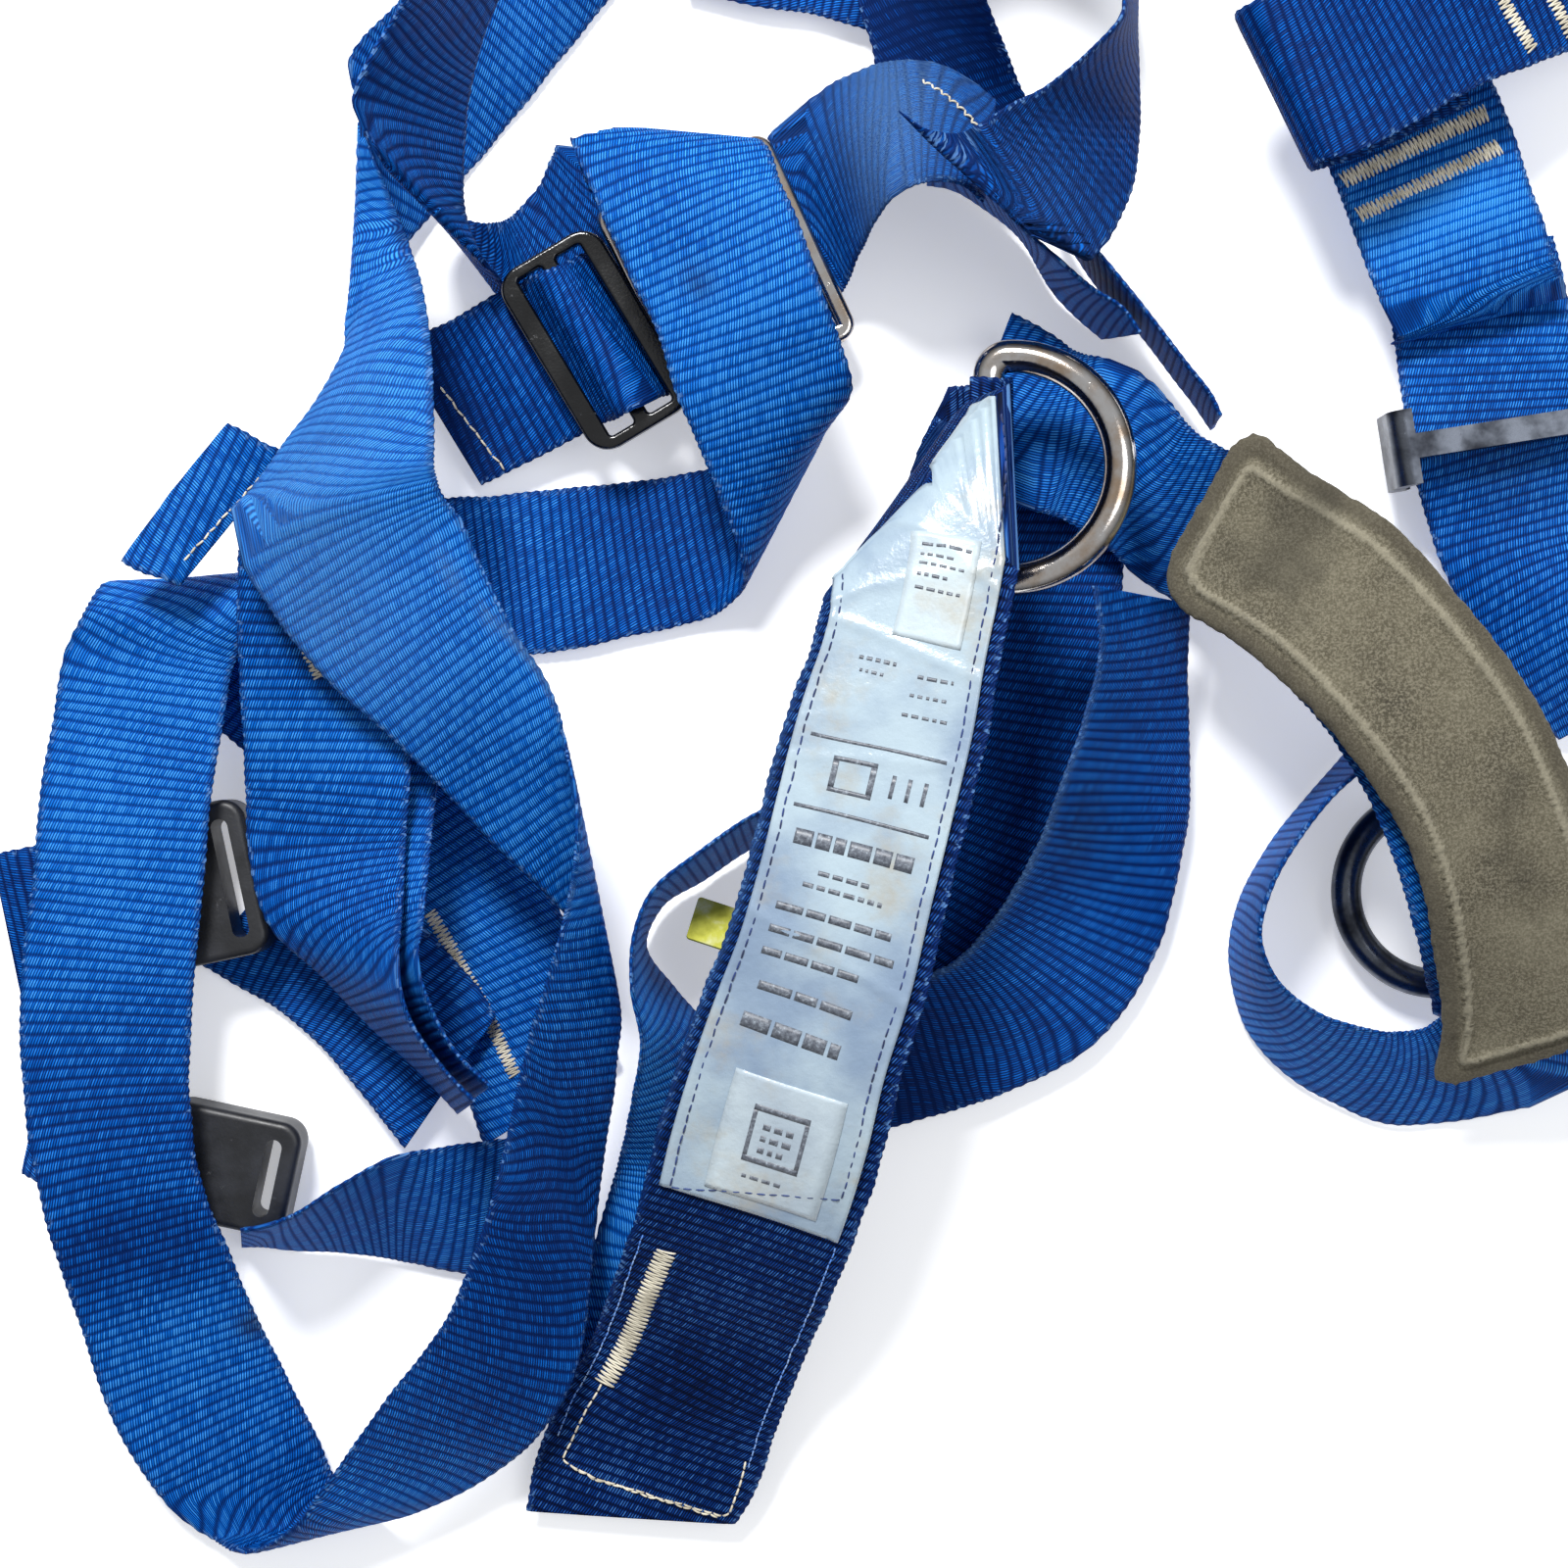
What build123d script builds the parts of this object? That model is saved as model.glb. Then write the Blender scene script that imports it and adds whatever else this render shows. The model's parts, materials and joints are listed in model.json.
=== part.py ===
from build123d import *

import math
import os

# Safety harness, lying in a loose pile. Millimetres, +Z up, the floor at Z = 0, the pile's middle at X = Y = 0.

# Webbing and soft pieces
webbing = 1.6  # thickness of the woven straps
floor_gap = 1.0  # lowest height of a band's middle plane
cuts = 3  # lengths that each gap between two stations is lofted in
pad_thickness = 5
label_thickness = 0.8
label_gap = 0.3  # between the sleeve and the label on it
label_share = 0.86  # of the sleeve's width
label_first = 12  # stations of the sleeve between which the label lies
label_last = 23

# Dorsal D-ring, turning on its straight bar in the sleeve strap
d_ring_bar = (67.3, 44.6, 44)
d_ring_rod = 8.4
d_ring_half = 28.5  # radius of the bow, to the middle of the rod
d_ring_bend = 5
d_ring_tilt = 12

# Steel attachment ring
steel_ring_place = (192, -65, 9)
steel_ring_diameter = 50  # to the middle of the rod
steel_ring_rod = 8

# Link and slider on the chest strap
link_place = (-0.6, 100.8, 15.5)
link_turn = 25
link_length = 46.5
link_width = 55
link_rod = 5
link_bar = 4
slider_place = (-35.2, 81.9, 20)
slider_turn = 31
slider_size = (31, 55)
slider_slot = (7.4, 48.4)
slider_bar = 4.4
slider_thickness = 3

# Adjuster on the hip strap
adjuster_place = (206, 57, 17.5)
adjuster_turn = 9
adjuster_outer = (61, 17)
adjuster_inner = (53, 9)
adjuster_length = 20
adjuster_bar = 6.5

# Side-release buckles of the leg straps
buckle_places = [(-143.6, -63.5, 16, 12), (-135, -139, 11, -12)]
buckle_sizes = [(38, 42, 12), (38, 31, 11)]
buckle_wall = 2.5
prong_length = 14
prong_width = 6
tongue_base = 26
tongue_clearance = 0.4

# Size tag
tag_place = (-4, -73, 26)
tag_size = (11, 13, 0.8)

# Each band is a list of stations, and each station is the left and right edge of the band there.
routes = {
    "strap_a": [
        ((-25, 241, 2), (-25, 231, 44)), ((-20, 225, 2), (-22, 219, 46)), ((-20, 200, 2), (-60, 202, 22)),
        ((-51, 156, 2), (-84, 173, 26)), ((-74, 128, 2), (-100, 153, 26)), ((-91, 106, 8), (-97, 146, 25)),
        ((-97, 92, 24), (-96, 144, 32)), ((-98, 82, 38), (-93, 130, 32)), ((-98, 72, 43), (-88, 118, 33)),
        ((-104, 60, 48), (-81, 102, 42)), ((-112, 49, 51), (-74, 80, 57)), ((-119, 38, 54), (-72, 59, 61)),
        ((-125, 28, 56), (-71, 40, 65)), ((-121, 18, 53), (-69, 35, 63)), ((-112, 4, 50), (-65, 29, 61)),
        ((-101, -10, 47), (-59, 16, 60)), ((-89, -21, 44), (-52, 2, 59)), ((-76, -34, 40), (-45, -9, 58)),
        ((-61, -51, 35), (-41, -19, 58)), ((-43, -69, 31), (-40, -24, 57)), ((-31, -86, 28), (-39, -29, 58)),
        ((-28, -95, 30), (-37, -38, 60)), ((-29, -110, 28), (-37, -54, 61)),
        ((-31, -124, 24), (-40, -70, 60)), ((-33, -136, 21), (-44, -84, 57)),
        ((-35, -151, 18), (-49, -99, 54)), ((-36, -165, 24), (-54, -121, 52)),
        ((-38, -184, 24), (-61, -147, 47)), ((-43, -198, 23), (-71, -172, 45)),
        ((-52, -211, 19), (-87, -194, 40)), ((-63, -221, 14), (-102, -215, 33)),
        ((-75, -228, 13), (-116, -233, 27)), ((-88, -233, 11), (-130, -241, 18)),
        ((-95, -234, 5), (-139, -241, 8)), ((-105, -228, 4), (-148, -235, 8)),
        ((-112, -213, 6), (-157, -223, 11)), ((-120, -195, 9), (-166, -204, 15)),
        ((-128, -175, 15), (-171, -182, 21)), ((-133, -158, 21), (-177, -158, 27)),
        ((-138, -143, 25), (-181, -138, 30)), ((-141, -121, 27), (-184, -113, 31)),
        ((-140, -90, 28), (-184, -83, 31)), ((-137, -62, 29), (-181, -59, 31)),
        ((-135, -39, 29), (-179, -36, 31)), ((-132, -19, 28), (-176, -18, 30)),
        ((-129, -4, 28), (-173, -1, 30)), ((-123, 10, 30), (-167, 10, 31)), ((-120, 19, 24), (-164, 17, 25)),
        ((-119, 22, 13), (-162, 10, 14)), ((-114, 18, 8), (-147, -12, 8)), ((-95, 0, 7), (-125, -33, 7)),
        ((-77, -22, 6), (-106, -55, 6)), ((-59, -47, 5), (-92, -77, 5)), ((-45, -73, 4), (-81, -99, 3)),
        ((-36, -95, 4), (-73, -118, 2)), ((-30, -111, 4), (-67, -135, 2)),
    ],
    "strap_b": [
        ((-46, 218, 70), (-46, 227, 26)), ((-57, 200, 80), (-46, 201, 38)), ((-68, 179, 75), (-50, 180, 35)),
        ((-78, 155, 72), (-60, 166, 34)), ((-86, 141, 73), (-66, 146, 35)), ((-90, 132, 72), (-68, 132, 34)),
        ((-89, 126, 69), (-68, 113, 33)), ((-85, 119, 63), (-63, 100, 31)), ((-84, 119, 51), (-61, 99, 19)),
        ((-82, 121, 26), (-57, 91, 5)), ((-72, 117, 8), (-50, 80, 3)), ((-62, 116, 9), (-43, 76, 3)),
        ((-53, 124, 8), (-33, 82, 3)), ((-48, 134, 7), (-17, 91, 3)), ((-44, 140, 6), (-1, 107, 3)),
        ((-38, 137, 5), (4, 114, 3)),
    ],
    "strap_c": [
        ((-33, 114, 29), (13, 119, 29)), ((-38, 124, 29), (12, 126, 29)), ((-41, 134, 30), (10, 130, 31)),
        ((-42, 135, 36), (9, 130, 37)), ((-40, 130, 43), (11, 127, 43)), ((-35, 117, 47), (14, 117, 50)),
        ((-26, 97, 47), (20, 102, 54)), ((-17, 78, 46), (25, 87, 54)), ((-12, 62, 44), (29, 77, 50)),
        ((-7, 51, 39), (32, 69, 46)), ((-1, 36, 31), (32, 64, 39)), ((4, 22, 22), (27, 60, 26)),
        ((3, 15, 13), (23, 55, 14)), ((-4, 10, 6), (15, 54, 6)), ((-14, 7, 4), (0, 51, 4)),
        ((-28, 4, 4), (-21, 47, 4)), ((-41, 1, 4), (-41, 45, 4)), ((-57, -1, 4), (-60, 43, 4)),
        ((-72, -3, 12), (-75, 41, 12)), ((-90, -3, 12), (-93, 41, 12)),
    ],
    "chest_strap": [
        ((-90, 83, 10), (-67, 45, 8)), ((-78, 87, 13), (-54, 51, 9)), ((-69, 91, 16), (-46, 55, 10)),
        ((-61, 96, 15), (-37, 59, 13)), ((-56, 98, 15), (-33, 61, 14)), ((-53, 99, 19), (-30, 61, 19)),
        ((-49, 99, 25), (-26, 62, 25)), ((-44, 101, 25), (-21, 64, 25)), ((-41, 104, 19), (-18, 67, 19)),
        ((-38, 107, 13), (-15, 69, 13)), ((-35, 109, 10), (-12, 71, 10)), ((-28, 112, 8), (-7, 73, 8)),
        ((-19, 115, 11), (2, 76, 11)), ((-14, 116, 20), (7, 77, 20)), ((-7, 120, 20), (13, 80, 20)),
        ((-1, 127, 11), (18, 84, 11)), ((7, 134, 8), (25, 87, 9)), ((14, 144, 9), (31, 97, 12)),
        ((22, 148, 13), (35, 104, 24)), ((31, 152, 19), (39, 109, 42)), ((41, 155, 22), (43, 112, 53)),
        ((53, 155, 23), (51, 115, 56)), ((63, 151, 23), (60, 114, 56)), ((71, 145, 23), (65, 110, 55)),
    ],
    "yoke_strap": [
        ((45, 135, 12), (89, 135, 12)), ((41, 148, 13), (85, 140, 14)), ((39, 159, 14), (81, 145, 16)),
        ((35, 173, 16), (74, 156, 25)), ((34, 188, 15), (65, 170, 41)), ((36, 206, 14), (53, 185, 48)),
        ((47, 224, 8), (52, 196, 52)), ((71, 230, 6), (67, 206, 50)), ((94, 217, 6), (84, 197, 50)),
        ((105, 196, 10), (95, 180, 54)), ((109, 176, 18), (99, 161, 62)), ((108, 163, 24), (98, 153, 66)),
        ((108, 150, 28), (90, 144, 68)), ((107, 131, 36), (79, 135, 69)), ((103, 113, 44), (71, 131, 69)),
        ((95, 99, 52), (64, 127, 67)), ((87, 93, 56), (57, 124, 67)), ((81, 98, 57), (49, 125, 69)),
        ((76, 102, 59), (43, 129, 69)),
    ],
    "cross_strap": [
        ((64, 160, 6), (64, 204, 6)), ((54, 164, 6), (51, 208, 6)), ((41, 168, 6), (36, 212, 6)),
        ((23, 173, 6), (18, 217, 6)), ((4, 176, 6), (-2, 220, 6)), ((-12, 180, 6), (-17, 224, 6)),
    ],
    "keeper_strap": [
        ((54, 128, 2), (56, 123, 45)), ((60, 127, 2), (60, 120, 45)), ((70, 121, 3), (68, 114, 46)),
        ((81, 111, 4), (78, 103, 48)), ((85, 104, 4), (84, 98, 48)), ((89, 98, 3), (93, 91, 46)),
        ((96, 91, 2), (102, 85, 46)), ((102, 86, 2), (106, 79, 46)),
    ],
    "side_strap": [
        ((89, 117, 4), (86, 110, 47)), ((93, 111, 4), (91, 104, 47)), ((100, 100, 5), (98, 95, 49)),
        ((111, 87, 7), (108, 82, 50)), ((121, 74, 7), (117, 70, 51)), ((127, 66, 8), (123, 62, 51)),
        ((131, 60, 8), (125, 57, 52)),
    ],
    "pad_strap": [
        ((76, 90, 17), (60, 49, 17)), ((84, 85, 20), (67, 44, 18)), ((93, 78, 24), (75, 38, 20)),
        ((103, 75, 28), (87, 35, 20)), ((112, 68, 32), (100, 28, 17)), ((121, 56, 35), (111, 19, 12)),
        ((130, 50, 38), (122, 12, 13)), ((146, 43, 44), (130, 4, 32)), ((159, 33, 48), (137, -5, 45)),
        ((172, 20, 52), (147, -16, 50)), ((183, 5, 54), (157, -30, 52)), ((193, -12, 53), (166, -47, 51)),
        ((202, -31, 51), (173, -64, 47)), ((211, -52, 46), (180, -82, 37)), ((220, -75, 45), (186, -93, 23)),
        ((228, -99, 37), (188, -97, 19)), ((225, -119, 16), (188, -97, 26)),
        ((212, -125, 5), (183, -100, 28)), ((198, -128, 2), (176, -101, 29)),
        ((182, -129, 2), (168, -100, 32)), ((167, -124, 2), (155, -96, 34)), ((152, -115, 2), (145, -89, 36)),
        ((141, -102, 2), (139, -81, 41)), ((137, -86, 2), (137, -73, 43)), ((139, -70, 2), (140, -61, 45)),
        ((147, -54, 2), (148, -48, 45)), ((158, -40, 2), (158, -36, 45)), ((170, -26, 2), (169, -28, 46)),
        ((180, -12, 2), (183, -20, 46)), ((189, 3, 2), (198, -15, 42)),
    ],
    "shoulder_strap_c": [
        ((93, 14, 52), (123, 12, 19)), ((95, -1, 50), (123, -6, 15)), ((91, -20, 47), (124, -26, 12)),
        ((86, -35, 44), (124, -44, 11)), ((82, -49, 36), (121, -62, 10)), ((76, -62, 29), (117, -78, 9)),
        ((69, -73, 25), (108, -96, 8)), ((60, -83, 22), (97, -108, 8)), ((46, -89, 20), (83, -116, 8)),
        ((33, -91, 17), (68, -122, 9)), ((23, -94, 15), (51, -127, 9)), ((12, -94, 13), (34, -132, 9)),
    ],
    "shoulder_strap_d": [
        ((65, 59, 4), (105, 71, 17)), ((64, 46, 5), (106, 51, 14)), ((63, 31, 4), (107, 31, 9)),
        ((63, 12, 3), (106, 9, 8)), ((60, -9, 3), (103, -17, 8)), ((56, -30, 3), (98, -43, 5)),
        ((49, -52, 3), (89, -68, 4)), ((39, -70, 3), (78, -90, 3)), ((28, -84, 3), (63, -111, 3)),
        ((14, -95, 3), (44, -127, 3)),
    ],
    "extension_strap": [
        ((62, 22, 50), (62, 67, 50)), ((67, 22, 50), (67, 67, 50)), ((71, 22, 48), (71, 67, 48)),
        ((73, 22, 44), (73, 68, 44)), ((72, 23, 40), (72, 68, 40)), ((68, 22, 38), (68, 68, 38)),
        ((61, 21, 34), (62, 67, 37)), ((48, 19, 31), (54, 66, 36)), ((37, 15, 30), (54, 60, 36)),
        ((30, 12, 34), (57, 57, 40)), ((26, 11, 43), (61, 60, 50)), ((24, 10, 52), (68, 62, 60)),
        ((25, 10, 59), (74, 63, 66)), ((24, 7, 62), (76, 53, 69)), ((22, -1, 63), (75, 36, 71)),
        ((18, -12, 63), (72, 15, 72)), ((14, -24, 64), (68, -5, 72)), ((10, -39, 64), (65, -23, 72)),
        ((6, -55, 64), (60, -44, 72)), ((1, -72, 63), (55, -65, 71)), ((-5, -87, 60), (50, -88, 69)),
        ((-11, -104, 56), (44, -108, 66)), ((-17, -123, 50), (40, -127, 60)),
        ((-22, -143, 43), (35, -145, 52)), ((-29, -164, 30), (28, -166, 41)),
        ((-38, -188, 15), (20, -188, 27)), ((-47, -205, 11), (13, -208, 18)), ((-53, -222, 8), (7, -227, 12)),
        ((-55, -233, 7), (2, -236, 9)),
    ],
    "leg_loop_strap": [
        ((42, -50, 2), (40, -40, 46)), ((24, -47, 2), (25, -38, 46)), ((7, -53, 3), (9, -43, 45)),
        ((-7, -62, 3), (-6, -53, 47)), ((-19, -70, 4), (-19, -64, 47)), ((-23, -80, 4), (-23, -74, 47)),
        ((-14, -93, 3), (-24, -88, 46)), ((0, -108, 2), (-22, -102, 40)), ((10, -126, 2), (-25, -119, 28)),
        ((14, -142, 4), (-30, -139, 10)), ((8, -159, 4), (-36, -159, 8)), ((5, -178, 4), (-39, -176, 6)),
        ((3, -196, 4), (-41, -192, 5)), ((1, -207, 3), (-43, -203, 4)),
    ],
    "back_strap": [
        ((-125, 24, 42), (-81, 24, 43)), ((-126, 4, 39), (-82, 4, 40)), ((-126, -17, 34), (-82, -17, 36)),
        ((-126, -36, 29), (-82, -35, 36)), ((-126, -54, 26), (-83, -52, 36)),
        ((-120, -74, 26), (-82, -69, 48)), ((-107, -87, 23), (-81, -82, 59)),
        ((-94, -101, 20), (-78, -95, 60)), ((-82, -113, 17), (-70, -107, 59)),
        ((-72, -124, 16), (-62, -115, 59)),
    ],
    "back_underlay": [
        ((-120, 21, 36), (-76, 21, 37)), ((-120, 2, 34), (-76, 2, 35)), ((-120, -18, 29), (-76, -18, 30)),
        ((-120, -36, 24), (-76, -36, 29)), ((-120, -54, 21), (-77, -54, 34)),
        ((-114, -74, 20), (-77, -69, 44)), ((-101, -89, 18), (-77, -81, 54)),
        ((-89, -101, 14), (-73, -93, 55)), ((-78, -111, 13), (-67, -104, 54)),
        ((-69, -121, 12), (-59, -112, 54)),
    ],
    "leg_strap_upper": [
        ((-115, -52, 8), (-145, -85, 3)), ((-106, -58, 9), (-136, -90, 3)), ((-96, -64, 10), (-124, -97, 3)),
        ((-88, -70, 10), (-114, -105, 3)), ((-80, -77, 9), (-106, -113, 5)), ((-73, -85, 8), (-100, -120, 6)),
        ((-67, -92, 8), (-94, -127, 7)), ((-63, -99, 8), (-88, -135, 7)),
    ],
    "leg_strap_lower": [
        ((-124, -150, 44), (-133, -162, 3)), ((-118, -149, 44), (-127, -162, 3)),
        ((-112, -147, 43), (-121, -163, 2)), ((-99, -139, 39), (-105, -164, 2)),
        ((-87, -133, 34), (-90, -166, 3)), ((-78, -132, 28), (-76, -169, 3)),
        ((-67, -131, 21), (-62, -171, 3)), ((-56, -131, 14), (-49, -172, 3)),
    ],
    "thigh_strap": [
        ((-211, -92, 2), (-203, -58, 29)), ((-220, -89, 2), (-210, -63, 37)),
        ((-230, -87, 2), (-220, -71, 42)), ((-243, -92, 4), (-229, -84, 45)),
        ((-249, -104, 4), (-234, -98, 47)), ((-247, -117, 4), (-231, -115, 47)),
        ((-237, -127, 4), (-221, -124, 45)), ((-224, -124, 2), (-209, -131, 43)),
        ((-211, -118, 2), (-199, -138, 39)),
    ],
    "end_tab": [
        ((-114, 50, 38), (-139, 14, 42)), ((-119, 52, 40), (-143, 16, 44)), ((-124, 55, 42), (-149, 18, 44)),
        ((-129, 57, 42), (-155, 21, 42)),
    ],
    "hip_strap": [
        ((248, 169, 18), (234, 211, 18)), ((228, 159, 28), (211, 200, 30)), ((208, 150, 36), (191, 191, 40)),
        ((191, 142, 42), (175, 183, 45)), ((175, 132, 46), (157, 174, 48)), ((161, 125, 47), (142, 167, 50)),
        ((153, 123, 45), (134, 163, 48)), ((151, 122, 40), (131, 162, 42)), ((154, 124, 33), (134, 163, 35)),
        ((165, 128, 29), (146, 169, 31)), ((180, 135, 27), (161, 177, 29)), ((196, 143, 26), (177, 184, 28)),
    ],
    "hip_drop": [
        ((151, 158, 16), (193, 176, 16)), ((155, 145, 17), (198, 164, 17)), ((160, 129, 18), (204, 151, 18)),
        ((164, 118, 19), (209, 138, 19)), ((168, 106, 20), (213, 124, 20)), ((172, 95, 21), (217, 112, 21)),
        ((176, 86, 20), (221, 100, 20)), ((179, 83, 17), (224, 97, 17)), ((178, 82, 14), (225, 95, 14)),
    ],
    "hip_lower": [
        ((177, 105, 6), (224, 113, 6)), ((180, 88, 7), (228, 94, 7)), ((181, 72, 11), (228, 78, 11)),
        ((182, 58, 16), (228, 64, 16)), ((182, 52, 18), (229, 58, 18)), ((184, 45, 16), (231, 51, 16)),
        ((188, 35, 12), (234, 38, 14)), ((193, 22, 10), (236, 27, 18)), ((202, 6, 6), (239, 17, 28)),
        ((215, -11, 4), (242, 5, 35)), ((226, -24, 4), (249, -6, 37)),
    ],
    "wear_pad": [
        ((132, 58, 52), (112, 17, 34)), ((139, 50, 55), (116, 9, 39)), ((153, 40, 57), (125, 2, 45)),
        ((167, 30, 60), (135, -7, 53)), ((180, 16, 62), (147, -20, 58)), ((192, 1, 63), (158, -34, 60)),
        ((203, -15, 62), (168, -49, 58)), ((212, -33, 60), (174, -63, 55)), ((220, -52, 56), (179, -79, 47)),
        ((223, -68, 53), (184, -94, 37)), ((225, -83, 49), (186, -105, 29)),
        ((225, -103, 42), (184, -118, 20)),
    ],
    "leg_tail_1": [
        ((-183, -52, 21), (-175, -90, 21)), ((-188, -53, 21), (-180, -91, 21)),
        ((-192, -54, 20), (-184, -92, 20)), ((-196, -55, 18), (-188, -93, 18)),
    ],
    "leg_tail_2": [
        ((-167, -118, 16), (-173, -145, 16)), ((-172, -117, 16), (-178, -144, 16)),
        ((-178, -116, 15), (-184, -143, 15)), ((-184, -114, 12), (-190, -141, 12)),
    ],
}


def slopes(points, gaps):
    """How fast the smooth curve through the points goes at each of them."""
    steps = [(end - start) * (1 / gap) for start, end, gap in zip(points, points[1:], gaps)]
    middle = []
    for before, after, gap_before, gap_after in zip(steps, steps[1:], gaps, gaps[1:]):
        middle.append((before * gap_after + after * gap_before) * (1 / (gap_before + gap_after)))
    return [steps[0], *middle, steps[-1]]


def smooth(points, gaps):
    """Points along the smooth curve through the given ones, with each gap cut in equal lengths."""
    speeds = slopes(points, gaps)
    curve = []
    for index, gap in enumerate(gaps):
        for cut in range(cuts):
            s = cut / cuts
            start = points[index] * (2 * s**3 - 3 * s**2 + 1) + points[index + 1] * (3 * s**2 - 2 * s**3)
            bend = speeds[index] * (s**3 - 2 * s**2 + s) + speeds[index + 1] * (s**3 - s**2)
            curve.append(start + bend * gap)
    return [*curve, points[-1]]


def sections(route):
    """The plane and the width of each cross section of a band: X across it, Y along its normal."""
    left = [Vector(*station[0]) for station in route]
    right = [Vector(*station[1]) for station in route]
    middle = [(a + b) * 0.5 for a, b in zip(left, right)]
    gaps = [max((b - a).length, 1.5) for a, b in zip(middle, middle[1:])]
    lefts = smooth(left, gaps)
    rights = smooth(right, gaps)
    centres = [(a + b) * 0.5 for a, b in zip(lefts, rights)]
    found = []
    for index, centre in enumerate(centres):
        across = rights[index] - lefts[index]
        width = across.length
        across = across.normalized()
        along = centres[min(index + 1, len(centres) - 1)] - centres[max(index - 1, 0)]
        along = along - across * along.dot(across)
        lift = max(0, floor_gap - min(lefts[index].Z, rights[index].Z))
        found.append((Plane(origin=centre + Vector(0, 0, lift), x_dir=across, z_dir=along), width))
    return found


def keep(piece, name):
    piece.part.label = name
    export_step(piece.part, f"parts/{name}.step")


os.makedirs("parts", exist_ok=True)

# Straps, and the wear pad over one of them
for name, route in routes.items():
    thickness = pad_thickness if name == "wear_pad" else webbing
    with BuildPart() as band:
        for plane, width in sections(route):
            with BuildSketch(plane):
                Rectangle(width, thickness)
        loft(ruled=True)
    keep(band, name)

# Label, on the upper side of the sleeve
with BuildPart() as label_panel:
    label_height = webbing / 2 + label_gap + label_thickness / 2
    sleeve = sections(routes["extension_strap"])
    for plane, width in sleeve[label_first * cuts : label_last * cuts + 1]:
        side = 1 if plane.y_dir.Z > 0 else -1
        with BuildSketch(plane):
            with Locations((0, side * label_height)):
                Rectangle(width * label_share, label_thickness)
    loft(ruled=True)
keep(label_panel, "label_panel")

# Size tag, standing inside the leg loop
with BuildPart() as size_tag:
    with BuildSketch(Plane(origin=tag_place, x_dir=(1, -0.3, 0), z_dir=(0.2, 0.5, 0.8))):
        RectangleRounded(tag_size[0], tag_size[1], 1)
    extrude(amount=tag_size[2])
keep(size_tag, "size_tag")

# Dorsal D-ring: a straight bar, two bends and a half-round bow
tilt = math.radians(d_ring_tilt)
d_ring_out = (math.cos(tilt), 0, math.sin(tilt))
d_ring_plane = Plane(origin=d_ring_bar, x_dir=d_ring_out, z_dir=(-math.sin(tilt), 0, math.cos(tilt)))
with BuildPart() as dorsal_d_ring:
    straight = d_ring_half - d_ring_bend
    with BuildSketch(Plane(origin=d_ring_bar, x_dir=d_ring_out, z_dir=(0, 1, 0))):
        Circle(d_ring_rod / 2)
    extrude(amount=straight, both=True)
    for side in (1, -1):
        bar_end = d_ring_plane.from_local_coords((0, side * straight, 0))
        bend_middle = d_ring_plane.from_local_coords((d_ring_bend, side * straight, 0))
        with BuildSketch(Plane(origin=bar_end, x_dir=d_ring_out, z_dir=(0, 1, 0))):
            Circle(d_ring_rod / 2)
        revolve(axis=Axis(bend_middle, d_ring_plane.z_dir * -side), revolution_arc=90)
    bow_start = d_ring_plane.from_local_coords((d_ring_bend, d_ring_half, 0))
    bow_middle = d_ring_plane.from_local_coords((d_ring_bend, 0, 0))
    with BuildSketch(Plane(origin=bow_start, x_dir=(0, 1, 0), z_dir=d_ring_out)):
        Circle(d_ring_rod / 2)
    revolve(axis=Axis(bow_middle, d_ring_plane.z_dir * -1), revolution_arc=180)
keep(dorsal_d_ring, "dorsal_d_ring")

# Steel ring
with BuildPart() as attachment_ring:
    with BuildSketch(Plane(origin=steel_ring_place, x_dir=(1, 0, 0), z_dir=(0, 1, 0))):
        with Locations((steel_ring_diameter / 2, 0)):
            Circle(steel_ring_rod / 2)
    revolve(axis=Axis(steel_ring_place, (0, 0, 1)))
keep(attachment_ring, "attachment_ring")

# Three-bar wire link
with BuildPart() as chest_link:
    link_plane = Plane(link_place).rotated((0, 0, link_turn))
    with BuildSketch(link_plane):
        RectangleRounded(link_length + link_rod, link_width + link_rod, link_rod)
        Rectangle(link_length - link_rod, link_width - link_rod, mode=Mode.SUBTRACT)
        Rectangle(link_bar, link_width)
    extrude(amount=link_rod / 2, both=True)
    fillet(chest_link.edges().filter_by(GeomType.LINE).filter_by(Plane.XY), link_bar * 0.4)
keep(chest_link, "chest_link")

# Slider with two slots
with BuildPart() as chest_slider:
    slider_plane = Plane(slider_place).rotated((0, 0, slider_turn))
    slot_place = (slider_bar + slider_slot[0]) / 2
    with BuildSketch(slider_plane):
        RectangleRounded(slider_size[0], slider_size[1], 7)
        with Locations((slot_place, 0), (-slot_place, 0)):
            RectangleRounded(slider_slot[0], slider_slot[1], 1, mode=Mode.SUBTRACT)
    extrude(amount=slider_thickness / 2, both=True)
    fillet(chest_slider.faces().sort_by(Axis.Z)[-1].edges(), 1)
keep(chest_slider, "chest_slider")

# Hip adjuster: a loop round the strap with long ends and narrow bars
with BuildPart() as hip_adjuster:
    adjuster_plane = Plane(adjuster_place).rotated((0, 0, adjuster_turn))
    with BuildSketch(Plane(origin=adjuster_place, x_dir=adjuster_plane.x_dir, z_dir=adjuster_plane.y_dir)):
        RectangleRounded(adjuster_outer[0], adjuster_outer[1], 4)
        RectangleRounded(adjuster_inner[0], adjuster_inner[1], 2, mode=Mode.SUBTRACT)
    extrude(amount=adjuster_length / 2, both=True)
    with BuildSketch(adjuster_plane):
        with Locations((0, adjuster_length / 2), (0, -adjuster_length / 2)):
            Rectangle(adjuster_inner[0] - 4, adjuster_length - adjuster_bar, mode=Mode.ADD)
    extrude(amount=adjuster_outer[1], both=True, mode=Mode.SUBTRACT)
keep(hip_adjuster, "hip_adjuster")

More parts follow.
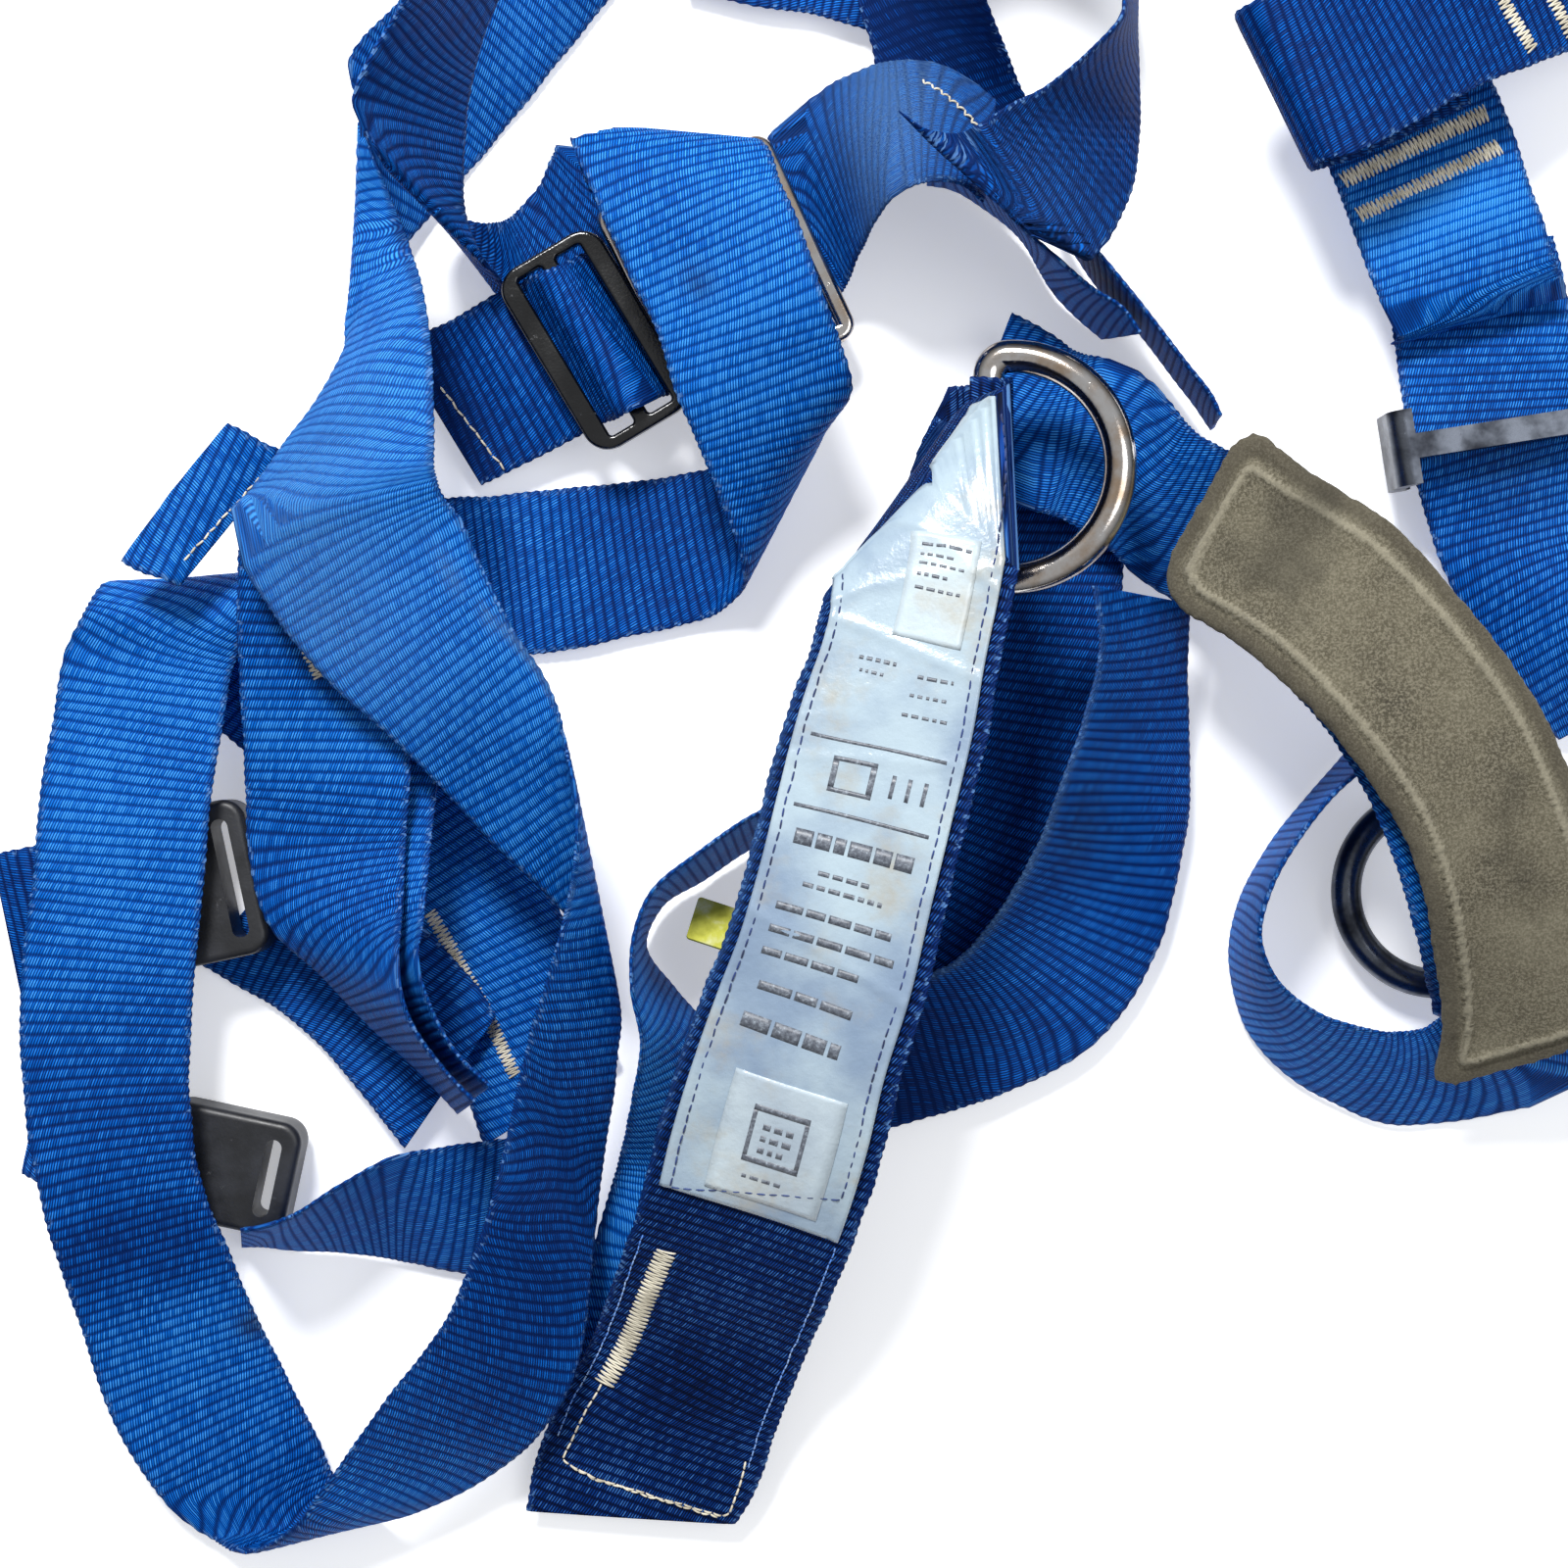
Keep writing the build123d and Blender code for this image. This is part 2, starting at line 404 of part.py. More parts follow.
# Leg buckles: a housing open at its far end, with a bar for the webbing, and a tongue with two prongs
for number, (place, size) in enumerate(zip(buckle_places, buckle_sizes), start=1):
    plane = Plane(place[:3]).rotated((0, 0, place[3]))
    length, width, height = size
    inner_width = width - 2 * buckle_wall
    inner_height = height - 2 * buckle_wall
    pocket = length * 0.6
    with BuildPart() as housing:
        with BuildSketch(plane.offset(-height / 2)):
            RectangleRounded(length, width, 6)
        extrude(amount=height)
        fillet(housing.edges().group_by(Axis.Z)[-1], 2)
        with BuildSketch(plane.offset(-inner_height / 2)):
            with Locations(((pocket - length) / 2, 0)):
                Rectangle(pocket + 0.01, inner_width)
        extrude(amount=inner_height, mode=Mode.SUBTRACT)
        with BuildSketch(plane):
            with Locations((length / 2 - 7, 0)):
                SlotOverall(width - 10, 4.5, rotation=90)
        extrude(amount=height, both=True, mode=Mode.SUBTRACT)
    keep(housing, f"buckle_{number}_housing")
    base_middle = -length / 2 - tongue_clearance - tongue_base / 2
    prong_middle = -length / 2 - tongue_clearance + prong_length / 2
    prong_offset = inner_width / 2 - tongue_clearance - prong_width / 2
    tongue_height = inner_height - 2 * tongue_clearance
    with BuildPart() as tongue:
        with BuildSketch(plane.offset(-tongue_height / 2)):
            with Locations((base_middle, 0)):
                RectangleRounded(tongue_base, width - 4, 4)
            with Locations((prong_middle - 1, prong_offset), (prong_middle - 1, -prong_offset)):
                Rectangle(prong_length + 2, prong_width)
            with Locations((base_middle - 4, 0)):
                SlotOverall(width - 12, 4.5, rotation=90, mode=Mode.SUBTRACT)
        extrude(amount=tongue_height)
    keep(tongue, f"buckle_{number}_tongue")
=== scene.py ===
import json
import math
import random

import bpy
import numpy as np
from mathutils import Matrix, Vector
from mathutils.kdtree import KDTree

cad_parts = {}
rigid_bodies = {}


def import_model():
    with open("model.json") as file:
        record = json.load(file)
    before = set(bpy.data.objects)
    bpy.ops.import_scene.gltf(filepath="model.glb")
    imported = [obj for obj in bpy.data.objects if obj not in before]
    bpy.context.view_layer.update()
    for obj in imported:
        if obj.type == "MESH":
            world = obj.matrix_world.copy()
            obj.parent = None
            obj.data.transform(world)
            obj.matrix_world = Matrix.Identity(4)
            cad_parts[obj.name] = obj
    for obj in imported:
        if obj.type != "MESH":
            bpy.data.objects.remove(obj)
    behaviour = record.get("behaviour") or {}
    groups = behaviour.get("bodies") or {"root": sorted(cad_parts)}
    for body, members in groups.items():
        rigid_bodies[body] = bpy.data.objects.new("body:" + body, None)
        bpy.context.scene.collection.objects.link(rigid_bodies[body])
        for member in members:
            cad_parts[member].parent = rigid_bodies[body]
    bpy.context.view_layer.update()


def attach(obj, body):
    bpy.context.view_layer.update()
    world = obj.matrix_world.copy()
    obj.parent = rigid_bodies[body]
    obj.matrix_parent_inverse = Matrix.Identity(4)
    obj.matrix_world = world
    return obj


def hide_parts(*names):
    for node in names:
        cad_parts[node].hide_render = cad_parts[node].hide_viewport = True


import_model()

# Safety harness in a loose pile, in the frame of the CAD model. Routes and sizes are in millimetres,
# as in the CAD, and turn into metres when a mesh is made.

mm = 0.001

# Webbing
webbing = 1.6  # thickness of the straps
floor_gap = 1.0  # from the floor to the middle of the lowest strap
rib_pitch = 2.75
rib_rows = 6  # rows of the mesh in one rib
rib_relief = 0.22
edge_share = 0.35  # thickness at the very edge, as a share of the strap's
yarn_width = 0.72
strap_width = 45
sleeve_width = 52
other_widths = {"extension_strap": sleeve_width, "leg_tail_1": 38, "leg_tail_2": 28}

# Label on the sleeve, between two stations of its route and two shares of its width
label_stations = (12, 23)
label_shares = (0.07, 0.93)
label_lift = 0.3  # from the sleeve to the label
label_thickness = 0.8
label_top = webbing / 2 + label_lift + label_thickness
ink_lift = 0.02
ink_thickness = 0.05
sticker_thickness = 0.22
sticker_ink_lift = 0.25

# Wear pad
pad_thickness = 5
pad_corner = 8.5  # radius of its four corners
pad_cover = 0.6  # left out of each half of the thickness, for the filling to push back
pad_voxel = 1.6
pad_pressure = 4
pad_frames = 20  # frames of the cloth simulation
pad_cap = 2.5  # how far the filling may push a point of its cover
ridge_width = 50  # width of the pad over which its ridge is laid out
ridge_corner = 12
ridge_inset = 8.5

# Thread
thread_radius = 0.3
stitch_sides = 6
# Rings of one stitch: share of its length, thickness and height, each as a share of the most
stitch_rings = [
    (0.0, 0.45, -0.9),
    (0.10, 0.9, 0.2),
    (0.32, 1.0, 0.95),
    (0.68, 1.0, 1.0),
    (0.9, 0.9, 0.2),
    (1.0, 0.45, -0.9),
]

# Camera straight above, in metres. The photo takes in frame_width of the floor.
camera_place = (0.015, -0.036, 0.650)
frame_width = 0.430
sensor_width = 36
floor_reach = 6

# Each band is a list of stations: a point of its left edge and one of its right edge, the same as in the CAD.
# The points were picked by hand along the straps of the photo, and a separate script then turned them into
# whole millimetres. Those of the two leg tails were worked out from the places of the buckles.
routes = {
    "strap_a": [
        (-25, 241, 2, -25, 231, 44), (-20, 225, 2, -22, 219, 46), (-20, 200, 2, -60, 202, 22),
        (-51, 156, 2, -84, 173, 26), (-74, 128, 2, -100, 153, 26), (-91, 106, 8, -97, 146, 25),
        (-97, 92, 24, -96, 144, 32), (-98, 82, 38, -93, 130, 32), (-98, 72, 43, -88, 118, 33),
        (-104, 60, 48, -81, 102, 42), (-112, 49, 51, -74, 80, 57), (-119, 38, 54, -72, 59, 61),
        (-125, 28, 56, -71, 40, 65), (-121, 18, 53, -69, 35, 63), (-112, 4, 50, -65, 29, 61),
        (-101, -10, 47, -59, 16, 60), (-89, -21, 44, -52, 2, 59), (-76, -34, 40, -45, -9, 58),
        (-61, -51, 35, -41, -19, 58), (-43, -69, 31, -40, -24, 57), (-31, -86, 28, -39, -29, 58),
        (-28, -95, 30, -37, -38, 60), (-29, -110, 28, -37, -54, 61), (-31, -124, 24, -40, -70, 60),
        (-33, -136, 21, -44, -84, 57), (-35, -151, 18, -49, -99, 54), (-36, -165, 24, -54, -121, 52),
        (-38, -184, 24, -61, -147, 47), (-43, -198, 23, -71, -172, 45), (-52, -211, 19, -87, -194, 40),
        (-63, -221, 14, -102, -215, 33), (-75, -228, 13, -116, -233, 27), (-88, -233, 11, -130, -241, 18),
        (-95, -234, 5, -139, -241, 8), (-105, -228, 4, -148, -235, 8), (-112, -213, 6, -157, -223, 11),
        (-120, -195, 9, -166, -204, 15), (-128, -175, 15, -171, -182, 21),
        (-133, -158, 21, -177, -158, 27), (-138, -143, 25, -181, -138, 30),
        (-141, -121, 27, -184, -113, 31), (-140, -90, 28, -184, -83, 31), (-137, -62, 29, -181, -59, 31),
        (-135, -39, 29, -179, -36, 31), (-132, -19, 28, -176, -18, 30), (-129, -4, 28, -173, -1, 30),
        (-123, 10, 30, -167, 10, 31), (-120, 19, 24, -164, 17, 25), (-119, 22, 13, -162, 10, 14),
        (-114, 18, 8, -147, -12, 8), (-95, 0, 7, -125, -33, 7), (-77, -22, 6, -106, -55, 6),
        (-59, -47, 5, -92, -77, 5), (-45, -73, 4, -81, -99, 3), (-36, -95, 4, -73, -118, 2),
        (-30, -111, 4, -67, -135, 2),
    ],
    "strap_b": [
        (-46, 218, 70, -46, 227, 26), (-57, 200, 80, -46, 201, 38), (-68, 179, 75, -50, 180, 35),
        (-78, 155, 72, -60, 166, 34), (-86, 141, 73, -66, 146, 35), (-90, 132, 72, -68, 132, 34),
        (-89, 126, 69, -68, 113, 33), (-85, 119, 63, -63, 100, 31), (-84, 119, 51, -61, 99, 19),
        (-82, 121, 26, -57, 91, 5), (-72, 117, 8, -50, 80, 3), (-62, 116, 9, -43, 76, 3),
        (-53, 124, 8, -33, 82, 3), (-48, 134, 7, -17, 91, 3), (-44, 140, 6, -1, 107, 3),
        (-38, 137, 5, 4, 114, 3),
    ],
    "strap_c": [
        (-33, 114, 29, 13, 119, 29), (-38, 124, 29, 12, 126, 29), (-41, 134, 30, 10, 130, 31),
        (-42, 135, 36, 9, 130, 37), (-40, 130, 43, 11, 127, 43), (-35, 117, 47, 14, 117, 50),
        (-26, 97, 47, 20, 102, 54), (-17, 78, 46, 25, 87, 54), (-12, 62, 44, 29, 77, 50),
        (-7, 51, 39, 32, 69, 46), (-1, 36, 31, 32, 64, 39), (4, 22, 22, 27, 60, 26),
        (3, 15, 13, 23, 55, 14), (-4, 10, 6, 15, 54, 6), (-14, 7, 4, 0, 51, 4), (-28, 4, 4, -21, 47, 4),
        (-41, 1, 4, -41, 45, 4), (-57, -1, 4, -60, 43, 4), (-72, -3, 12, -75, 41, 12),
        (-90, -3, 12, -93, 41, 12),
    ],
    "chest_strap": [
        (-90, 83, 10, -67, 45, 8), (-78, 87, 13, -54, 51, 9), (-69, 91, 16, -46, 55, 10),
        (-61, 96, 15, -37, 59, 13), (-56, 98, 15, -33, 61, 14), (-53, 99, 19, -30, 61, 19),
        (-49, 99, 25, -26, 62, 25), (-44, 101, 25, -21, 64, 25), (-41, 104, 19, -18, 67, 19),
        (-38, 107, 13, -15, 69, 13), (-35, 109, 10, -12, 71, 10), (-28, 112, 8, -7, 73, 8),
        (-19, 115, 11, 2, 76, 11), (-14, 116, 20, 7, 77, 20), (-7, 120, 20, 13, 80, 20),
        (-1, 127, 11, 18, 84, 11), (7, 134, 8, 25, 87, 9), (14, 144, 9, 31, 97, 12),
        (22, 148, 13, 35, 104, 24), (31, 152, 19, 39, 109, 42), (41, 155, 22, 43, 112, 53),
        (53, 155, 23, 51, 115, 56), (63, 151, 23, 60, 114, 56), (71, 145, 23, 65, 110, 55),
    ],
    "yoke_strap": [
        (45, 135, 12, 89, 135, 12), (41, 148, 13, 85, 140, 14), (39, 159, 14, 81, 145, 16),
        (35, 173, 16, 74, 156, 25), (34, 188, 15, 65, 170, 41), (36, 206, 14, 53, 185, 48),
        (47, 224, 8, 52, 196, 52), (71, 230, 6, 67, 206, 50), (94, 217, 6, 84, 197, 50),
        (105, 196, 10, 95, 180, 54), (109, 176, 18, 99, 161, 62), (108, 163, 24, 98, 153, 66),
        (108, 150, 28, 90, 144, 68), (107, 131, 36, 79, 135, 69), (103, 113, 44, 71, 131, 69),
        (95, 99, 52, 64, 127, 67), (87, 93, 56, 57, 124, 67), (81, 98, 57, 49, 125, 69),
        (76, 102, 59, 43, 129, 69),
    ],
    "cross_strap": [
        (64, 160, 6, 64, 204, 6), (54, 164, 6, 51, 208, 6), (41, 168, 6, 36, 212, 6),
        (23, 173, 6, 18, 217, 6), (4, 176, 6, -2, 220, 6), (-12, 180, 6, -17, 224, 6),
    ],
    "keeper_strap": [
        (54, 128, 2, 56, 123, 45), (60, 127, 2, 60, 120, 45), (70, 121, 3, 68, 114, 46),
        (81, 111, 4, 78, 103, 48), (85, 104, 4, 84, 98, 48), (89, 98, 3, 93, 91, 46),
        (96, 91, 2, 102, 85, 46), (102, 86, 2, 106, 79, 46),
    ],
    "side_strap": [
        (89, 117, 4, 86, 110, 47), (93, 111, 4, 91, 104, 47), (100, 100, 5, 98, 95, 49),
        (111, 87, 7, 108, 82, 50), (121, 74, 7, 117, 70, 51), (127, 66, 8, 123, 62, 51),
        (131, 60, 8, 125, 57, 52),
    ],
    "pad_strap": [
        (76, 90, 17, 60, 49, 17), (84, 85, 20, 67, 44, 18), (93, 78, 24, 75, 38, 20),
        (103, 75, 28, 87, 35, 20), (112, 68, 32, 100, 28, 17), (121, 56, 35, 111, 19, 12),
        (130, 50, 38, 122, 12, 13), (146, 43, 44, 130, 4, 32), (159, 33, 48, 137, -5, 45),
        (172, 20, 52, 147, -16, 50), (183, 5, 54, 157, -30, 52), (193, -12, 53, 166, -47, 51),
        (202, -31, 51, 173, -64, 47), (211, -52, 46, 180, -82, 37), (220, -75, 45, 186, -93, 23),
        (228, -99, 37, 188, -97, 19), (225, -119, 16, 188, -97, 26), (212, -125, 5, 183, -100, 28),
        (198, -128, 2, 176, -101, 29), (182, -129, 2, 168, -100, 32), (167, -124, 2, 155, -96, 34),
        (152, -115, 2, 145, -89, 36), (141, -102, 2, 139, -81, 41), (137, -86, 2, 137, -73, 43),
        (139, -70, 2, 140, -61, 45), (147, -54, 2, 148, -48, 45), (158, -40, 2, 158, -36, 45),
        (170, -26, 2, 169, -28, 46), (180, -12, 2, 183, -20, 46), (189, 3, 2, 198, -15, 42),
    ],
    "shoulder_strap_c": [
        (93, 14, 52, 123, 12, 19), (95, -1, 50, 123, -6, 15), (91, -20, 47, 124, -26, 12),
        (86, -35, 44, 124, -44, 11), (82, -49, 36, 121, -62, 10), (76, -62, 29, 117, -78, 9),
        (69, -73, 25, 108, -96, 8), (60, -83, 22, 97, -108, 8), (46, -89, 20, 83, -116, 8),
        (33, -91, 17, 68, -122, 9), (23, -94, 15, 51, -127, 9), (12, -94, 13, 34, -132, 9),
    ],
    "shoulder_strap_d": [
        (65, 59, 4, 105, 71, 17), (64, 46, 5, 106, 51, 14), (63, 31, 4, 107, 31, 9),
        (63, 12, 3, 106, 9, 8), (60, -9, 3, 103, -17, 8), (56, -30, 3, 98, -43, 5),
        (49, -52, 3, 89, -68, 4), (39, -70, 3, 78, -90, 3), (28, -84, 3, 63, -111, 3),
        (14, -95, 3, 44, -127, 3),
    ],
    "extension_strap": [
        (62, 22, 50, 62, 67, 50), (67, 22, 50, 67, 67, 50), (71, 22, 48, 71, 67, 48),
        (73, 22, 44, 73, 68, 44), (72, 23, 40, 72, 68, 40), (68, 22, 38, 68, 68, 38),
        (61, 21, 34, 62, 67, 37), (48, 19, 31, 54, 66, 36), (37, 15, 30, 54, 60, 36),
        (30, 12, 34, 57, 57, 40), (26, 11, 43, 61, 60, 50), (24, 10, 52, 68, 62, 60),
        (25, 10, 59, 74, 63, 66), (24, 7, 62, 76, 53, 69), (22, -1, 63, 75, 36, 71),
        (18, -12, 63, 72, 15, 72), (14, -24, 64, 68, -5, 72), (10, -39, 64, 65, -23, 72),
        (6, -55, 64, 60, -44, 72), (1, -72, 63, 55, -65, 71), (-5, -87, 60, 50, -88, 69),
        (-11, -104, 56, 44, -108, 66), (-17, -123, 50, 40, -127, 60), (-22, -143, 43, 35, -145, 52),
        (-29, -164, 30, 28, -166, 41), (-38, -188, 15, 20, -188, 27), (-47, -205, 11, 13, -208, 18),
        (-53, -222, 8, 7, -227, 12), (-55, -233, 7, 2, -236, 9),
    ],
    "leg_loop_strap": [
        (42, -50, 2, 40, -40, 46), (24, -47, 2, 25, -38, 46), (7, -53, 3, 9, -43, 45),
        (-7, -62, 3, -6, -53, 47), (-19, -70, 4, -19, -64, 47), (-23, -80, 4, -23, -74, 47),
        (-14, -93, 3, -24, -88, 46), (0, -108, 2, -22, -102, 40), (10, -126, 2, -25, -119, 28),
        (14, -142, 4, -30, -139, 10), (8, -159, 4, -36, -159, 8), (5, -178, 4, -39, -176, 6),
        (3, -196, 4, -41, -192, 5), (1, -207, 3, -43, -203, 4),
    ],
    "back_strap": [
        (-125, 24, 42, -81, 24, 43), (-126, 4, 39, -82, 4, 40), (-126, -17, 34, -82, -17, 36),
        (-126, -36, 29, -82, -35, 36), (-126, -54, 26, -83, -52, 36), (-120, -74, 26, -82, -69, 48),
        (-107, -87, 23, -81, -82, 59), (-94, -101, 20, -78, -95, 60), (-82, -113, 17, -70, -107, 59),
        (-72, -124, 16, -62, -115, 59),
    ],
    "back_underlay": [
        (-120, 21, 36, -76, 21, 37), (-120, 2, 34, -76, 2, 35), (-120, -18, 29, -76, -18, 30),
        (-120, -36, 24, -76, -36, 29), (-120, -54, 21, -77, -54, 34), (-114, -74, 20, -77, -69, 44),
        (-101, -89, 18, -77, -81, 54), (-89, -101, 14, -73, -93, 55), (-78, -111, 13, -67, -104, 54),
        (-69, -121, 12, -59, -112, 54),
    ],
    "leg_strap_upper": [
        (-115, -52, 8, -145, -85, 3), (-106, -58, 9, -136, -90, 3), (-96, -64, 10, -124, -97, 3),
        (-88, -70, 10, -114, -105, 3), (-80, -77, 9, -106, -113, 5), (-73, -85, 8, -100, -120, 6),
        (-67, -92, 8, -94, -127, 7), (-63, -99, 8, -88, -135, 7),
    ],
    "leg_strap_lower": [
        (-124, -150, 44, -133, -162, 3), (-118, -149, 44, -127, -162, 3), (-112, -147, 43, -121, -163, 2),
        (-99, -139, 39, -105, -164, 2), (-87, -133, 34, -90, -166, 3), (-78, -132, 28, -76, -169, 3),
        (-67, -131, 21, -62, -171, 3), (-56, -131, 14, -49, -172, 3),
    ],
    "thigh_strap": [
        (-211, -92, 2, -203, -58, 29), (-220, -89, 2, -210, -63, 37), (-230, -87, 2, -220, -71, 42),
        (-243, -92, 4, -229, -84, 45), (-249, -104, 4, -234, -98, 47), (-247, -117, 4, -231, -115, 47),
        (-237, -127, 4, -221, -124, 45), (-224, -124, 2, -209, -131, 43), (-211, -118, 2, -199, -138, 39),
    ],
    "end_tab": [
        (-114, 50, 38, -139, 14, 42), (-119, 52, 40, -143, 16, 44), (-124, 55, 42, -149, 18, 44),
        (-129, 57, 42, -155, 21, 42),
    ],
    "hip_strap": [
        (248, 169, 18, 234, 211, 18), (228, 159, 28, 211, 200, 30), (208, 150, 36, 191, 191, 40),
        (191, 142, 42, 175, 183, 45), (175, 132, 46, 157, 174, 48), (161, 125, 47, 142, 167, 50),
        (153, 123, 45, 134, 163, 48), (151, 122, 40, 131, 162, 42), (154, 124, 33, 134, 163, 35),
        (165, 128, 29, 146, 169, 31), (180, 135, 27, 161, 177, 29), (196, 143, 26, 177, 184, 28),
    ],
    "hip_drop": [
        (151, 158, 16, 193, 176, 16), (155, 145, 17, 198, 164, 17), (160, 129, 18, 204, 151, 18),
        (164, 118, 19, 209, 138, 19), (168, 106, 20, 213, 124, 20), (172, 95, 21, 217, 112, 21),
        (176, 86, 20, 221, 100, 20), (179, 83, 17, 224, 97, 17), (178, 82, 14, 225, 95, 14),
    ],
    "hip_lower": [
        (177, 105, 6, 224, 113, 6), (180, 88, 7, 228, 94, 7), (181, 72, 11, 228, 78, 11),
        (182, 58, 16, 228, 64, 16), (182, 52, 18, 229, 58, 18), (184, 45, 16, 231, 51, 16),
        (188, 35, 12, 234, 38, 14), (193, 22, 10, 236, 27, 18), (202, 6, 6, 239, 17, 28),
        (215, -11, 4, 242, 5, 35), (226, -24, 4, 249, -6, 37),
    ],
    "wear_pad": [
        (132, 58, 52, 112, 17, 34), (139, 50, 55, 116, 9, 39), (153, 40, 57, 125, 2, 45),
        (167, 30, 60, 135, -7, 53), (180, 16, 62, 147, -20, 58), (192, 1, 63, 158, -34, 60),
        (203, -15, 62, 168, -49, 58), (212, -33, 60, 174, -63, 55), (220, -52, 56, 179, -79, 47),
        (223, -68, 53, 184, -94, 37), (225, -83, 49, 186, -105, 29), (225, -103, 42, 184, -118, 20),
    ],
    "leg_tail_1": [
        (-183, -52, 21, -175, -90, 21), (-188, -53, 21, -180, -91, 21), (-192, -54, 20, -184, -92, 20),
        (-196, -55, 18, -188, -93, 18),
    ],
    "leg_tail_2": [
        (-167, -118, 16, -173, -145, 16), (-172, -117, 16, -178, -144, 16),
        (-178, -116, 15, -184, -143, 15), (-184, -114, 12, -190, -141, 12),
    ],
}


# ---- surfaces that the straps follow


def unit(vectors):
    lengths = np.linalg.norm(vectors, axis=-1, keepdims=True)
    return vectors / np.maximum(lengths, 1e-9)


def ease(share):
    share = np.clip(share, 0, 1)
    return share * share * (3 - 2 * share)


def smooth(points, knots, where):
    """Points at the given places on the smooth curve through the stations."""
    gaps = np.diff(knots)[:, None]
    steps = np.diff(points, axis=0) / gaps
    middle = (steps[:-1] * gaps[1:] + steps[1:] * gaps[:-1]) / (gaps[:-1] + gaps[1:])
    speeds = np.vstack([steps[:1], middle, steps[-1:]])
    index = np.clip(np.searchsorted(knots, where, side="right") - 1, 0, len(gaps) - 1)
    gap = gaps[index]
    s = (where - knots[index])[:, None] / gap
    start = points[index] * (2 * s**3 - 3 * s**2 + 1) + points[index + 1] * (3 * s**2 - 2 * s**3)
    bend = speeds[index] * (s**3 - 2 * s**2 + s) + speeds[index + 1] * (s**3 - s**2)
    return start + bend * gap


class Band:
    """The surface that a strap follows. Lengths along and across it are those of the flat strap, in mm."""

    def __init__(self, route):
        stations = np.array(route, float)
        left = stations[:, :3]
        right = stations[:, 3:]
        middle = (left + right) / 2
        gaps = np.maximum(np.linalg.norm(np.diff(middle, axis=0), axis=1), 1.5)
        self.knots = np.concatenate([[0], np.cumsum(gaps)])
        self.places = np.linspace(0, self.knots[-1], int(self.knots[-1] * 4))
        self.left = smooth(left, self.knots, self.places)
        self.right = smooth(right, self.knots, self.places)
        lift = np.maximum(0, floor_gap - np.minimum(self.left[:, 2], self.right[:, 2]))
        self.left[:, 2] += lift
        self.right[:, 2] += lift
        centres = (self.left + self.right) / 2
        ruling = self.right - self.left
        ahead = (ruling * unit(np.gradient(centres, axis=0))).sum(axis=1)
        self.travelled = np.concatenate([[0], np.cumsum(np.linalg.norm(np.diff(centres, axis=0), axis=1))])
        self.ahead = ahead
        self.width = np.sqrt(np.maximum((ruling**2).sum(axis=1) - ahead**2, 1))
        self.length = self.travelled[-1]

    def along(self, station, share=0.5):
        """The length along the strap at a station of the route."""
        place = np.interp(station, np.arange(len(self.knots)), self.knots)
        travelled = np.interp(place, self.places, self.travelled)
        return travelled + np.interp(place, self.places, self.ahead) * (share - 0.5)

    def at(self, places, shares):
        """Points of the surface, for arrays of places on the route and shares of the width."""
        shares = np.asarray(shares, float)
        found = []
        for axis in range(3):
            left = np.interp(places, self.places, self.left[:, axis])
            right = np.interp(places, self.places, self.right[:, axis])
            found.append(left * (1 - shares) + right * shares)
        return np.stack(found, axis=-1)

    def grid(self, shares, lengths, square_ends=True):
        """Points, normals and lengths of a grid whose rows run straight across the strap."""
        rows = []
        for share in shares:
            travelled = self.travelled + self.ahead * (share - 0.5)
            travelled = np.maximum.accumulate(travelled) + self.places * 1e-6
            rows.append(travelled)
        first = np.array([row[0] for row in rows])
        last = np.array([row[-1] for row in rows])
        targets = np.repeat(lengths[:, None], len(shares), axis=1)
        if square_ends:
            fade = max(25, 3 * np.ptp(first), 3 * np.ptp(last))
            start = 1 - ease((lengths - lengths[0]) / fade)
            end = 1 - ease((lengths[-1] - lengths) / fade)
            targets = targets + start[:, None] * (first - lengths[0]) + end[:, None] * (last - lengths[-1])
        columns = [np.interp(targets[:, j], row, self.places) for j, row in enumerate(rows)]
        points = self.at(np.stack(columns, axis=1), np.asarray(shares)[None, :])
        across = np.gradient(points, axis=1)
        onward = np.gradient(points, axis=0)
        normals = unit(np.cross(onward, across))
        return points, normals, targets

    def spot(self, station, share):
        """A point on the surface, and the normal that looks up."""
        place = np.interp(station, np.arange(len(self.knots)), self.knots)
        point = self.at(place, share)
        onward = self.at(min(place + 0.6, self.places[-1]), share) - self.at(max(place - 0.6, 0), share)
        ruling = self.at(place, 1.0) - self.at(place, 0.0)
        normal = unit(np.cross(onward, ruling))
        return point, normal if normal[2] > 0 else -normal


bands = {name: Band(route) for name, route in routes.items()}


# ---- meshes


def add_object(name, points, faces, material, body="harness"):
    """A new mesh object from points in mm, riding on a body."""
    mesh = bpy.data.meshes.new(name)
    mesh.from_pydata((np.asarray(points) * mm).tolist(), [], [tuple(face) for face in faces])
    mesh.polygons.foreach_set("use_smooth", [True] * len(mesh.polygons))
    mesh.materials.append(material)
    mesh.update()
    made = bpy.data.objects.new(name, mesh)
    bpy.context.scene.collection.objects.link(made)
    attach(made, body)
    return made


def add_values(piece, **values):
    """Named values at the mesh's points, for its material to read."""
    for name, numbers in values.items():
        layer = piece.data.attributes.new(name, "FLOAT", "POINT")
        layer.data.foreach_set("value", np.asarray(numbers, np.float32).ravel())


def both_sides(values):
    """Values of a grid, for a loop that goes out on top and comes back below."""
    return np.concatenate([values, values[:, ::-1]], axis=1)


def join_parts(parts):
    """The points and faces of many small parts, as those of one mesh."""
    all_points = []
    all_faces = []
    for points, faces in parts:
        shift = len(all_points)
        all_points.extend(points)
        all_faces.extend(tuple(corner + shift for corner in face) for face in faces)
    return all_points, all_faces


